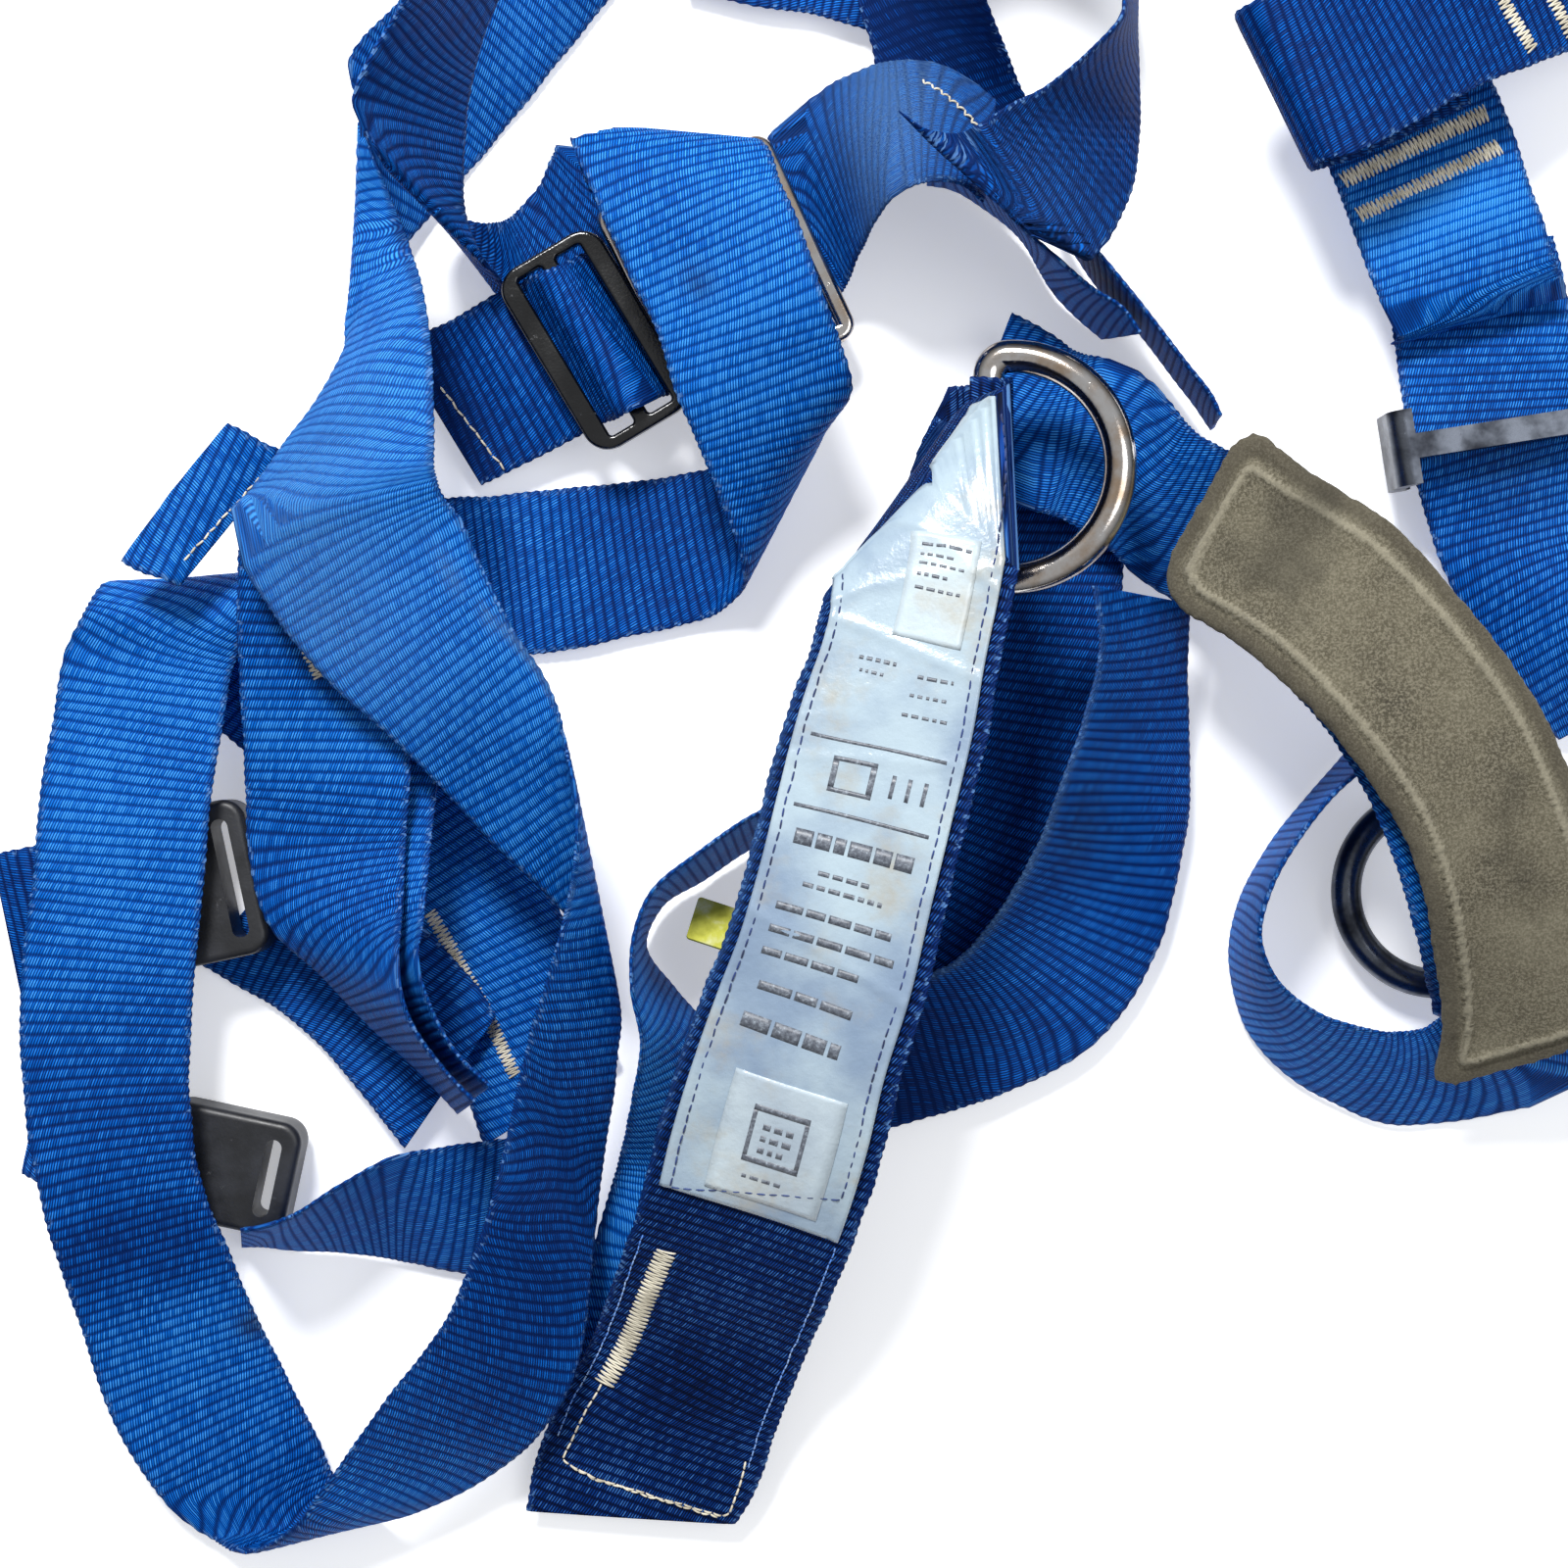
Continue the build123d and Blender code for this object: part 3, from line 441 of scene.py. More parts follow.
def shell_faces(row_count, loop):
    """Quads of a closed tube and of its two flat ends. Each loop goes out on top and back below."""
    rows = np.arange(row_count - 1)[:, None] * loop
    columns = np.arange(loop)[None, :]
    onward = (columns + 1) % loop
    quads = np.stack([rows + columns, rows + onward, rows + loop + onward, rows + loop + columns], axis=-1)
    faces = quads.reshape(-1, 4).tolist()
    last = (row_count - 1) * loop
    for j in range(loop // 2 - 1):
        faces.append((loop - 1 - j, loop - 2 - j, j + 1, j))
        faces.append((last + j, last + j + 1, last + loop - 2 - j, last + loop - 1 - j))
    return faces


def strap_columns(width):
    """Shares of the width where a strap's mesh has points: close together at its two edges."""
    edge = np.array([0, 0.45, 1.2, 2.2]) / width
    inside = np.linspace(3.6 / width, 1 - 3.6 / width, 11)
    return np.concatenate([edge, inside, 1 - edge[::-1]])


def waves(chance, across, along):
    """A gentle, uneven rise and fall from -1 to 1."""
    total = np.zeros_like(along)
    for _ in range(4):
        length = chance.uniform(28, 90)
        slant = chance.uniform(-0.06, 0.06)
        total += np.sin(along * 2 * math.pi / length + across * slant + chance.uniform(0, 6.28))
    return total / 4


def spots_value(name, kind, across, along):
    """The strongest of the worn, dirty, painted-shadow or painted-light spots on a strap, at each point."""
    value = np.zeros_like(along)
    band = bands[name]
    for strap, station, share, long, wide, amount in spots[kind]:
        if strap != name:
            continue
        centre = band.along(station, share)
        width = np.interp(centre, band.travelled, band.width)
        away = ((along - centre) / long) ** 2 + ((across - share * width) / wide) ** 2
        value = np.maximum(value, amount * np.exp(-away))
    return value


def make_strap(name, material, seed, body="harness"):
    """A woven strap: ribs across it, thin edges, and a slight unevenness."""
    chance = random.Random(seed)
    band = bands[name]
    shares = strap_columns(other_widths.get(name, strap_width))
    step = rib_pitch / rib_rows
    count = int(band.length / step)
    lengths = np.arange(count + 1) * step
    points, normals, along = band.grid(shares, lengths)
    widths = np.interp(along, band.travelled, band.width)
    across = shares[None, :] * widths
    margin = np.minimum(across, widths - across)

    cup = 0.35 * waves(chance, across * 0, along)
    points = points + normals * ((cup * (1 - (2 * shares[None, :] - 1) ** 2))[..., None])
    points = points + normals * (0.18 * waves(chance, across, along))[..., None]
    outward = unit(points[:, -1:] - points[:, :1])
    wobble = 0.16 * np.sin(along * 2 * math.pi / rib_pitch) + 0.25 * waves(chance, across * 0, along * 3)
    near_edge = np.exp(-((margin / 1.2) ** 2)) * np.sign(shares[None, :] - 0.5)
    points = points + outward * (near_edge * wobble)[..., None]

    phase = (along / rib_pitch) % 1
    rib = (0.5 - 0.5 * np.cos(2 * math.pi * phase)) ** 0.6
    rib = rib * (0.35 + 0.65 * ease((margin - 0.4) / 1.8))
    thinning = edge_share + (1 - edge_share) * ease(margin / 1.1)
    groove = 0.10 * np.exp(-(((margin - 2.0) / 0.5) ** 2))
    half = (webbing / 2 - rib_relief) * thinning + rib_relief * rib - groove
    upper = points + normals * half[..., None]
    lower = points - normals * half[..., None]
    all_points = np.concatenate([upper, lower[:, ::-1]], axis=1).reshape(-1, 3)
    faces = shell_faces(len(lengths), 2 * len(shares))
    piece = add_object(f"{name}_webbing", all_points, faces, material, body)
    # Painted light and shade: the bright and dark spots and the strap's painted shading go into the shade
    # values.
    brighter = spots_value(name, "bright", across, along)
    darker = spots_value(name, "dark", across, along)
    add_values(
        piece,
        across=both_sides(across),
        along=both_sides(along),
        margin=both_sides(margin),
        wear=both_sides(spots_value(name, "wear", across, along)),
        dirt=both_sides(spots_value(name, "dirt", across, along)),
        shade=both_sides(painted_strap_shading.get(name, 0) + brighter - darker),
    )
    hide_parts(name)
    return piece


# ---- thread


def thread_tube(start, end, up, radius, rise):
    """One stitch: a short tube that comes out of the cloth, lies on it and goes back in."""
    ahead = unit(end - start)
    aside = unit(np.cross(up, ahead))
    above = unit(np.cross(ahead, aside))
    points = []
    for share, thick, high in stitch_rings:
        middle = start + (end - start) * share + above * (rise * high)
        for side in range(stitch_sides):
            turn = side * 2 * math.pi / stitch_sides
            points.append(middle + (aside * math.cos(turn) + above * math.sin(turn)) * radius * thick)
    faces = []
    last = (len(stitch_rings) - 1) * stitch_sides
    for base in range(0, last, stitch_sides):
        for side in range(stitch_sides):
            onward = base + (side + 1) % stitch_sides
            faces.append((base + side, onward, onward + stitch_sides, base + stitch_sides + side))
    faces.append(tuple(range(stitch_sides))[::-1])
    faces.append(tuple(range(last, last + stitch_sides)))
    return points, faces


def path_on(band, marks, height, step):
    """Points and normals every step mm along straight lines between marks, each a station and a share."""
    found = []
    for (station, share), (next_station, next_share) in zip(marks, marks[1:]):
        for part in np.linspace(0, 1, 60):
            here = station + (next_station - station) * part
            point, up = band.spot(here, share + (next_share - share) * part)
            found.append((point + up * height, up))
    points = np.array([point for point, _ in found])
    ups = np.array([up for _, up in found])
    lengths = np.concatenate([[0], np.cumsum(np.linalg.norm(np.diff(points, axis=0), axis=1))])
    count = max(int(lengths[-1] / step), 1)
    wanted = np.linspace(0, lengths[-1], count + 1)
    even_points = np.stack([np.interp(wanted, lengths, points[:, axis]) for axis in range(3)], axis=1)
    even_ups = np.stack([np.interp(wanted, lengths, ups[:, axis]) for axis in range(3)], axis=1)
    return even_points, unit(even_ups)


def make_stitches(name, strap, rows, material, height=webbing / 2, radius=thread_radius):
    """Rows of thread on a strap, as one piece."""
    chance = random.Random(1)
    stitches = []
    for marks, step, zigzag in rows:
        points, ups = path_on(bands[strap], marks, height, step)
        onward = unit(np.gradient(points, axis=0))
        aside = unit(np.cross(ups, onward))
        swing = np.where(np.arange(len(points)) % 2 == 0, 0.5, -0.5) * zigzag
        points = points + aside * swing[:, None]
        points = points + aside * np.array([[chance.uniform(-0.18, 0.18)] for _ in points])
        points = points + onward * np.array([[chance.uniform(-0.15, 0.15)] for _ in points])
        for start, end, up in zip(points, points[1:], ups):
            gap = (end - start) * (0.02 if zigzag else 0.07)
            stitches.append(thread_tube(start + gap, end - gap, up, radius, radius * 0.9))
    all_points, all_faces = join_parts(stitches)
    piece = add_object(name, all_points, all_faces, material)


# ---- label


def label_grid(station_range, share_range, count, step):
    """Grid of the sleeve under a patch of the label, with the normals that look up."""
    band = bands["extension_strap"]
    shares = np.linspace(share_range[0], share_range[1], count)
    first = band.along(station_range[0])
    last = band.along(station_range[1])
    lengths = np.linspace(first, last, max(int((last - first) / step), 2))
    points, normals, along = band.grid(shares, lengths, square_ends=False)
    if normals[len(lengths) // 2, count // 2, 2] < 0:
        normals = -normals
    return points, normals, along, shares * sleeve_width


def creases(across, along):
    """Height of the label's soft creases, in mm."""
    height = 0.22 * np.sin(along / 7.3 + 0.9 * np.sin(across / 9)) * ease(np.sin(along / 31) + 0.4)
    for place, slant, depth in label_creases:
        away = along - place - slant * (across - sleeve_width / 2)
        height = height + depth * np.exp(-((away / 1.5) ** 2))
    return height


def patch(points, normals, low, high):
    """Points and faces of a closed sheet between two heights over a grid."""
    upper = points + normals * np.asarray(high)[..., None]
    lower = points + normals * np.asarray(low)[..., None]
    loop = 2 * points.shape[1]
    all_points = np.concatenate([upper, lower[:, ::-1]], axis=1).reshape(-1, 3)
    return all_points, shell_faces(len(points), loop)


def make_label(material):
    """The printed cover on the sleeve, with a raised edge and soft creases."""
    points, normals, along, across = label_grid(label_stations, label_shares, 48, 1.1)
    across = np.broadcast_to(across[None, :], along.shape)
    width = sleeve_width * (label_shares[1] - label_shares[0])
    margin = np.minimum(across - across[:, :1], across[:, -1:] - across)
    rim = 0.22 * np.exp(-(((margin - 1.0) / 0.7) ** 2)) - 0.25 * np.exp(-(((margin - 2.6) / 0.5) ** 2))
    height = label_top + rim + creases(across, along)
    low = np.full_like(height, webbing / 2 + label_lift)
    all_points, faces = patch(points, normals, low, height)
    piece = add_object("sleeve_label", all_points, faces, material)
    add_values(piece, across=both_sides(across), along=both_sides(along), margin=both_sides(margin))
    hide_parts("label_panel")
    return piece


def make_print(name, blocks, material, base, thickness):
    """Flat blocks on the label, as one piece. Each is a range of stations, then a range of shares."""
    patches = []
    for first, last, left, right in blocks:
        points, normals, along, across = label_grid((first, last), (left, right), 10, 1.2)
        across = np.broadcast_to(across[None, :], along.shape)
        height = label_top + base + creases(across, along)
        patches.append(patch(points, normals, height, height + thickness))
    all_points, all_faces = join_parts(patches)
    piece = add_object(name, all_points, all_faces, material)


# ---- wear pad


def make_pad(material):
    """The suede pad: a cover with rounded corners, filled by a cloth simulation, and a raised ridge."""
    band = bands["wear_pad"]
    shares = np.linspace(0.015, 0.985, 26)
    lengths = np.linspace(0, band.length, int(band.length / 2))
    points, normals, _ = band.grid(shares, lengths)
    from_end = np.minimum(lengths, lengths[-1] - lengths).clip(0, pad_corner)
    inset = pad_corner - np.sqrt(pad_corner**2 - (pad_corner - from_end) ** 2)
    narrowed = 1 - 2 * inset / np.interp(lengths, band.travelled, band.width)
    middle = (points[:, :1] + points[:, -1:]) / 2
    points = middle + (points - middle) * narrowed[:, None, None]
    half = (pad_thickness / 2 - pad_cover) * (0.75 + 0.25 * ease((1 - np.abs(2 * shares - 1)) / 0.16))
    ends = 0.8 + 0.2 * ease(np.minimum(lengths, lengths[-1] - lengths) / 8)
    half = half[None, :] * ends[:, None]  # thinner at the sides and at the ends
    all_points, faces = patch(points, normals, -half, half)
    piece = add_object("wear_pad_cover", all_points, faces, material)
    remesh = piece.modifiers.new("even", "REMESH")
    remesh.mode = "VOXEL"
    remesh.voxel_size = pad_voxel * mm
    apply_modifiers(piece)
    swell(piece)
    subdivide = piece.modifiers.new("fine", "SUBSURF")
    subdivide.levels = 1
    subdivide.render_levels = 1
    apply_modifiers(piece)
    piece.data.polygons.foreach_set("use_smooth", [True] * len(piece.data.polygons))
    pad_values(piece, band)
    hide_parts("wear_pad")


def apply_modifiers(piece):
    depsgraph = bpy.context.evaluated_depsgraph_get()
    depsgraph.update()
    mesh = bpy.data.meshes.new_from_object(piece.evaluated_get(depsgraph))
    piece.modifiers.clear()
    old = piece.data
    piece.data = mesh
    bpy.data.meshes.remove(old)


def swell(piece):
    """Fills the cover with Blender's cloth pressure, and keeps each point within pad_cap of where it was."""
    before = np.empty(len(piece.data.vertices) * 3)
    piece.data.vertices.foreach_get("co", before)
    cloth = piece.modifiers.new("fill", "CLOTH")
    cloth.settings.use_pressure = True
    cloth.settings.uniform_pressure_force = pad_pressure
    cloth.settings.quality = 5
    cloth.settings.effector_weights.gravity = 0
    scene = bpy.context.scene
    for step in range(pad_frames):
        scene.frame_set(step + 1)
    apply_modifiers(piece)
    scene.frame_set(1)
    after = np.empty_like(before)
    piece.data.vertices.foreach_get("co", after)
    moved = (after - before).reshape(-1, 3)
    lengths = np.linalg.norm(moved, axis=1, keepdims=True)
    moved *= np.minimum(1, pad_cap * mm / np.maximum(lengths, 1e-9))
    piece.data.vertices.foreach_set("co", (before + moved.ravel()).astype(np.float32))
    piece.data.update()


def pad_values(piece, band):
    """Where each point of the pad is on its band, and a ridge just inside its outline."""
    shares = np.linspace(0, 1, 41)
    lengths = np.linspace(0, band.length, 180)
    points, _, _ = band.grid(shares, lengths)
    tree_points = points.reshape(-1, 3)
    tree = KDTree(len(tree_points))
    for index, point in enumerate(tree_points):
        tree.insert(point, index)
    tree.balance()
    across = []
    onward = []
    for vertex in piece.data.vertices:
        _, index, _ = tree.find(vertex.co / mm)
        row, column = divmod(index, len(shares))
        across.append(shares[column] * ridge_width)
        onward.append(lengths[row])
    across = np.array(across)
    onward = np.array(onward)
    from_side = np.minimum(across, ridge_width - across)
    from_end = np.minimum(onward, band.length - onward)
    past_corner = np.hypot(np.maximum(ridge_corner - from_side, 0), np.maximum(ridge_corner - from_end, 0))
    inset = np.minimum(np.minimum(from_side, from_end), ridge_corner - past_corner)
    crest = 0.9 * np.exp(-(((inset - ridge_inset) / 1.3) ** 2))
    dip = 0.5 * np.exp(-(((inset - 5.8) / 1.0) ** 2))
    ridge = (crest - dip) * ease((inset - 3) / 2)
    for vertex, height in zip(piece.data.vertices, ridge):
        vertex.co += vertex.normal * (height * mm)
    add_values(piece, across=across, along=onward, margin=inset)


# ---- materials


def colour(red, green, blue):
    """A colour given as it looks on a screen, from 0 to 255."""
    shares = [part / 255 for part in (red, green, blue)]
    return (*[((share + 0.055) / 1.055) ** 2.4 if share > 0.04 else share / 12.92 for share in shares], 1)


class Look:
    """A node material, with short ways to add what the materials here are made of."""

    def __init__(self, name):
        self.material = bpy.data.materials.new(name)
        self.material.use_nodes = True
        self.tree = self.material.node_tree
        self.shader = self.tree.nodes["Principled BSDF"]

    def link(self, source, target):
        if hasattr(source, "links"):
            self.tree.links.new(source, target)
        else:
            target.default_value = source

    def math(self, operation, *values):
        node = self.tree.nodes.new("ShaderNodeMath")
        node.operation = operation
        for value, socket in zip(values, node.inputs):
            self.link(value, socket)
        return node.outputs[0]

    def times(self, first, second):
        return self.math("MULTIPLY", first, second)

    def plus(self, first, second):
        return self.math("ADD", first, second)

    def scaled(self, value, factor, offset):
        return self.math("MULTIPLY_ADD", value, factor, offset)

    def from_half(self, value):
        """How far a value is from 0.5."""
        return self.math("ABSOLUTE", self.math("SUBTRACT", value, 0.5))

    def spread(self, value, low, high, start=0.0, end=1.0):
        """Value mapped smoothly from low..high to start..end."""
        node = self.tree.nodes.new("ShaderNodeMapRange")
        node.interpolation_type = "SMOOTHSTEP"
        for socket, number in zip(node.inputs, (value, low, high, start, end)):
            self.link(number, socket)
        return node.outputs[0]

    def attribute(self, name):
        node = self.tree.nodes.new("ShaderNodeAttribute")
        node.attribute_name = name
        return node.outputs["Fac"]

    def place(self):
        return self.tree.nodes.new("ShaderNodeTexCoord").outputs["Object"]

    def vector(self, x, y, z=0.0):
        node = self.tree.nodes.new("ShaderNodeCombineXYZ")
        for socket, number in zip(node.inputs, (x, y, z)):
            self.link(number, socket)
        return node.outputs[0]

    def noise(self, vector, scale, detail, roughness=0.6):
        node = self.tree.nodes.new("ShaderNodeTexNoise")
        self.link(vector, node.inputs["Vector"])
        node.inputs["Scale"].default_value = scale
        node.inputs["Detail"].default_value = detail
        node.inputs["Roughness"].default_value = roughness
        return node.outputs["Fac"]

    def random(self, vector):
        node = self.tree.nodes.new("ShaderNodeTexWhiteNoise")
        node.noise_dimensions = "2D"
        self.link(vector, node.inputs["Vector"])
        return node.outputs["Value"]

    def ramp(self, value, stops):
        """Colours at positions from 0 to 1, as pairs of a position and a colour."""
        stops = list(stops)
        node = self.tree.nodes.new("ShaderNodeValToRGB")
        self.link(value, node.inputs[0])
        ramp = node.color_ramp
        while len(ramp.elements) < len(stops):
            ramp.elements.new(0.5)
        for element, (position, shade) in zip(ramp.elements, stops):
            element.position = position
            element.color = shade
        return node.outputs[0]

    def mix(self, share, first, second):
        node = self.tree.nodes.new("ShaderNodeMix")
        node.data_type = "RGBA"
        self.link(share, node.inputs[0])
        self.link(first, node.inputs[6])
        self.link(second, node.inputs[7])
        return node.outputs[2]

    def bump(self, height, distance, strength):
        """A normal from a height from 0 to 1, which stands for a distance in metres."""
        node = self.tree.nodes.new("ShaderNodeBump")
        node.inputs["Strength"].default_value = strength
        node.inputs["Distance"].default_value = distance
        self.link(height, node.inputs["Height"])
        return node.outputs[0]

    def finish(self, base, roughness, normal=None, **fixed):
        """Base colour and roughness, the bumps, and the numbers that are the same all over."""
        self.link(base, self.shader.inputs["Base Color"])
        self.link(roughness, self.shader.inputs["Roughness"])
        if normal is not None:
            self.link(normal, self.shader.inputs["Normal"])
        for name, value in fixed.items():
            self.shader.inputs[name.replace("_", " ")].default_value = value
        return self.material


def webbing_look(name, deep, middle, bright, painted_sheen_fleck):
    """Blue webbing: yarns that slant across each rib, grooves darkened by painted shade, a painted sheen on
    the brightest yarns, darker edges, worn and dirty places, and painted light and shade from the shade
    values.
    """
    look = Look(name)
    across = look.attribute("across")
    along = look.attribute("along")
    margin = look.attribute("margin")
    rib = look.math("DIVIDE", along, rib_pitch)
    rib_number = look.math("FLOOR", rib)
    in_rib = look.math("FRACT", rib)
    # Painted shade: the colour darkens towards the grooves between the ribs.
    groove = look.spread(look.from_half(in_rib), 0.2, 0.5, 0.0, 0.68)
    yarn = look.plus(look.math("DIVIDE", across, yarn_width), look.times(in_rib, 1.5))
    yarn = look.plus(yarn, look.times(rib_number, 0.37))
    yarn_number = look.math("FLOOR", yarn)
    dash = look.spread(look.from_half(look.math("FRACT", yarn)), 0.08, 0.46, 1.0, 0.08)
    luck = look.random(look.vector(yarn_number, rib_number))
    patches = look.noise(look.place(), 38, 4)
    cloth = look.vector(across, along)
    fine = look.noise(cloth, 1.9, 2, 0.7)

    level = look.times(dash, look.math("SUBTRACT", 1.0, groove))
    level = look.times(level, look.scaled(luck, 0.42, 0.66))
    level = look.plus(level, look.scaled(patches, 0.36, -0.18))
    # Painted light and shade from the shade values lift or lower the whole ramp.
    level = look.plus(level, look.times(look.attribute("shade"), 0.55))
    # The top of the ramp is a painted sheen on the brightest yarns; its deep end also carries painted shade.
    base = look.ramp(level, [(0.0, deep), (0.4, middle), (0.74, bright), (1.0, painted_sheen_fleck)])

    edge = look.spread(margin, 0.5, 2.1, 1.0, 0.0)
    base = look.mix(look.times(edge, 0.6), base, colour(2, 34, 92))
    edge_cell = look.vector(yarn_number, look.math("FLOOR", look.math("DIVIDE", along, 0.9)))
    speck = look.spread(look.random(edge_cell), 0.8, 0.9)
    base = look.mix(look.times(look.times(speck, edge), 0.45), base, colour(110, 160, 220))
    lint = look.spread(look.noise(cloth, 0.9, 5, 0.8), 0.66, 0.78)
    base = look.mix(look.times(lint, 0.16), base, colour(90, 140, 200))
    worn = look.times(look.attribute("wear"), look.spread(fine, 0.25, 0.62, 0.35, 1.0))
    worn_colour = look.ramp(fine, [(0.25, colour(24, 66, 120)), (0.8, colour(92, 126, 164))])
    base = look.mix(look.times(worn, 0.8), base, worn_colour)
    dirty = look.times(look.attribute("dirt"), look.spread(patches, 0.3, 0.6, 0.4, 1.0))
    base = look.mix(look.times(dirty, 0.75), base, colour(24, 26, 34))

    rough = look.plus(look.spread(luck, 0, 1, 0.5, 0.64), look.times(groove, 0.2))
    rough = look.plus(rough, look.times(worn, 0.25))
    height = look.plus(look.scaled(luck, 0.25, dash), look.times(fine, 0.4))
    return look.finish(
        base,
        rough,
        look.bump(height, 0.00016, 0.8),
        Sheen_Weight=0.04,
        Sheen_Roughness=0.35,
        Sheen_Tint=colour(40, 130, 255),
        Specular_IOR_Level=0.08,
    )


def thread_look(name, light, dark):
    """Twisted sewing thread, dirty in places."""
    look = Look(name)
    place = look.place()
    twist = look.noise(place, 1700, 2)
    patches = look.noise(place, 160, 3)
    base = look.mix(look.spread(patches, 0.35, 0.7), light, dark)
    normal = look.bump(twist, 0.0001, 0.8)
    return look.finish(base, look.spread(twist, 0.3, 0.7, 0.55, 0.85), normal, Sheen_Weight=0.2)


def label_look(name, clean, shaded):
    """Glossy white cover with a cool cast, soft clouds of painted shade, creases and brown stains."""
    look = Look(name)
    place = look.place()
    cloud = look.noise(place, 26, 4, 0.55)
    stain = look.spread(look.noise(place, 34, 5, 0.65), 0.5, 0.72)
    crinkle = look.noise(place, 330, 5, 0.6)
    # Painted shade: clouds of the shaded colour over the clean one.
    base = look.mix(look.spread(cloud, 0.35, 0.68), clean, shaded)
    base = look.mix(look.times(stain, 0.55), base, colour(168, 152, 118))
    grime = look.spread(look.noise(place, 700, 4, 0.7), 0.62, 0.78)
    base = look.mix(look.times(grime, 0.28), base, colour(120, 122, 122))
    normal = look.bump(crinkle, 0.0005, 0.5)
    rough = look.spread(cloud, 0.3, 0.7, 0.16, 0.34)
    return look.finish(base, rough, normal, Coat_Weight=0.4, Coat_Roughness=0.12, Specular_IOR_Level=0.6)


def print_look():
    """Grey ink, rubbed off in places."""
    look = Look("label_ink")
    worn = look.noise(look.place(), 900, 4, 0.75)
    greys = [colour(58, 62, 72), colour(104, 110, 120), colour(160, 170, 180)]
    base = look.ramp(worn, zip((0.3, 0.55, 0.7), greys))
    return look.finish(base, look.spread(worn, 0.3, 0.7, 0.3, 0.5))


def suede_look():
    """Taupe suede: a darker band outside the ridge, a lighter ridge, short fuzz and a stain."""
    look = Look("suede_look")
    place = look.place()
    across = look.attribute("across")
    along = look.attribute("along")
    margin = look.attribute("margin")
    cloud = look.noise(place, 45, 5, 0.65)
    fuzz = look.noise(place, 1500, 4, 0.8)
    nap = look.noise(look.vector(look.times(across, 2.2), along), 0.8, 4, 0.7)
    taupes = [colour(62, 58, 48), colour(88, 83, 68), colour(112, 107, 90)]
    base = look.ramp(cloud, zip((0.28, 0.5, 0.72), taupes))
    base = look.mix(look.spread(fuzz, 0.42, 0.62, 0.0, 0.7), base, colour(142, 136, 118))
    outside = look.spread(margin, 4.5, 7.0, 1.0, 0.0)
    base = look.mix(look.times(outside, 0.6), base, colour(68, 63, 54))
    from_ridge = look.math("ABSOLUTE", look.math("SUBTRACT", margin, ridge_inset))
    ridge = look.spread(from_ridge, 0.3, 1.5, 1.0, 0.0)
    base = look.mix(look.times(ridge, 0.45), base, colour(168, 162, 142))
    stain = look.spread(look.noise(place, 24, 3, 0.5), 0.56, 0.7)
    base = look.mix(look.times(stain, 0.5), base, colour(46, 44, 40))
    height = look.plus(fuzz, look.times(nap, 0.8))
    normal = look.bump(height, 0.0004, 0.75)
    return look.finish(
        base,
        look.spread(cloud, 0.3, 0.7, 0.85, 0.97),
        normal,
        Sheen_Weight=0.15,
        Sheen_Roughness=0.5,
        Sheen_Tint=colour(200, 192, 170),
        Specular_IOR_Level=0.2,
    )


def metal_look(name, light, dark, rough_low, rough_high, scratch):
    """Metal with fine scratches, smears of a second colour and small dark pits. On the chrome the tan second
    colour is a painted warm reflection.
    """
    look = Look(name)
    place = look.place()
    smear = look.noise(place, 90, 4)
    fine = look.noise(place, 1400, 3, 0.7)
    pits = look.spread(look.noise(place, 420, 5, 0.75), 0.66, 0.76)
    base = look.mix(look.spread(smear, 0.35, 0.7), light, dark)
    base = look.mix(look.times(pits, 0.6), base, colour(48, 40, 32))
    rough = look.plus(look.spread(smear, 0.3, 0.7, rough_low, rough_high), look.times(pits, 0.3))
    normal = look.bump(look.plus(fine, pits), 0.00005, scratch)
    return look.finish(base, rough, normal, Metallic=1.0)


def plastic_look(name, light, dark, rough_low, rough_high):
    """Black moulded plastic with a fine grain and pale scuffs."""
    look = Look(name)
    place = look.place()
    grain = look.noise(place, 1300, 2, 0.5)
    cloud = look.noise(place, 60, 4)
    scuff = look.spread(look.noise(place, 260, 5, 0.8), 0.63, 0.74)
    base = look.mix(look.spread(cloud, 0.35, 0.7), dark, light)
    base = look.mix(look.times(scuff, 0.3), base, colour(112, 114, 118))
    normal = look.bump(grain, 0.00007, 0.6)
    rough = look.plus(look.spread(cloud, 0.3, 0.7, rough_low, rough_high), look.times(scuff, 0.25))
    return look.finish(base, rough, normal, Specular_IOR_Level=0.55)


def tag_look():
    """Crumpled yellow tag, faded to white in places."""
    look = Look("tag_look")
    cloud = look.noise(look.place(), 150, 4)
    yellows = [colour(150, 150, 40), colour(196, 196, 70), colour(226, 228, 190)]
    base = look.ramp(cloud, zip((0.3, 0.55, 0.8), yellows))
    normal = look.bump(cloud, 0.0004, 0.6)
    return look.finish(base, look.spread(cloud, 0.3, 0.7, 0.4, 0.6), normal)


def floor_look():
    """White floor that glows a little, so that shadows on it stay pale."""
    look = Look("floor_look")
    cloud = look.noise(look.place(), 6, 3, 0.5)
    base = look.mix(cloud, colour(250, 250, 250), colour(245, 246, 248))
    glow = {"Emission_Color": (1, 1, 1, 1), "Emission_Strength": 0.38}
    return look.finish(base, 0.8, Specular_IOR_Level=0.1, **glow)


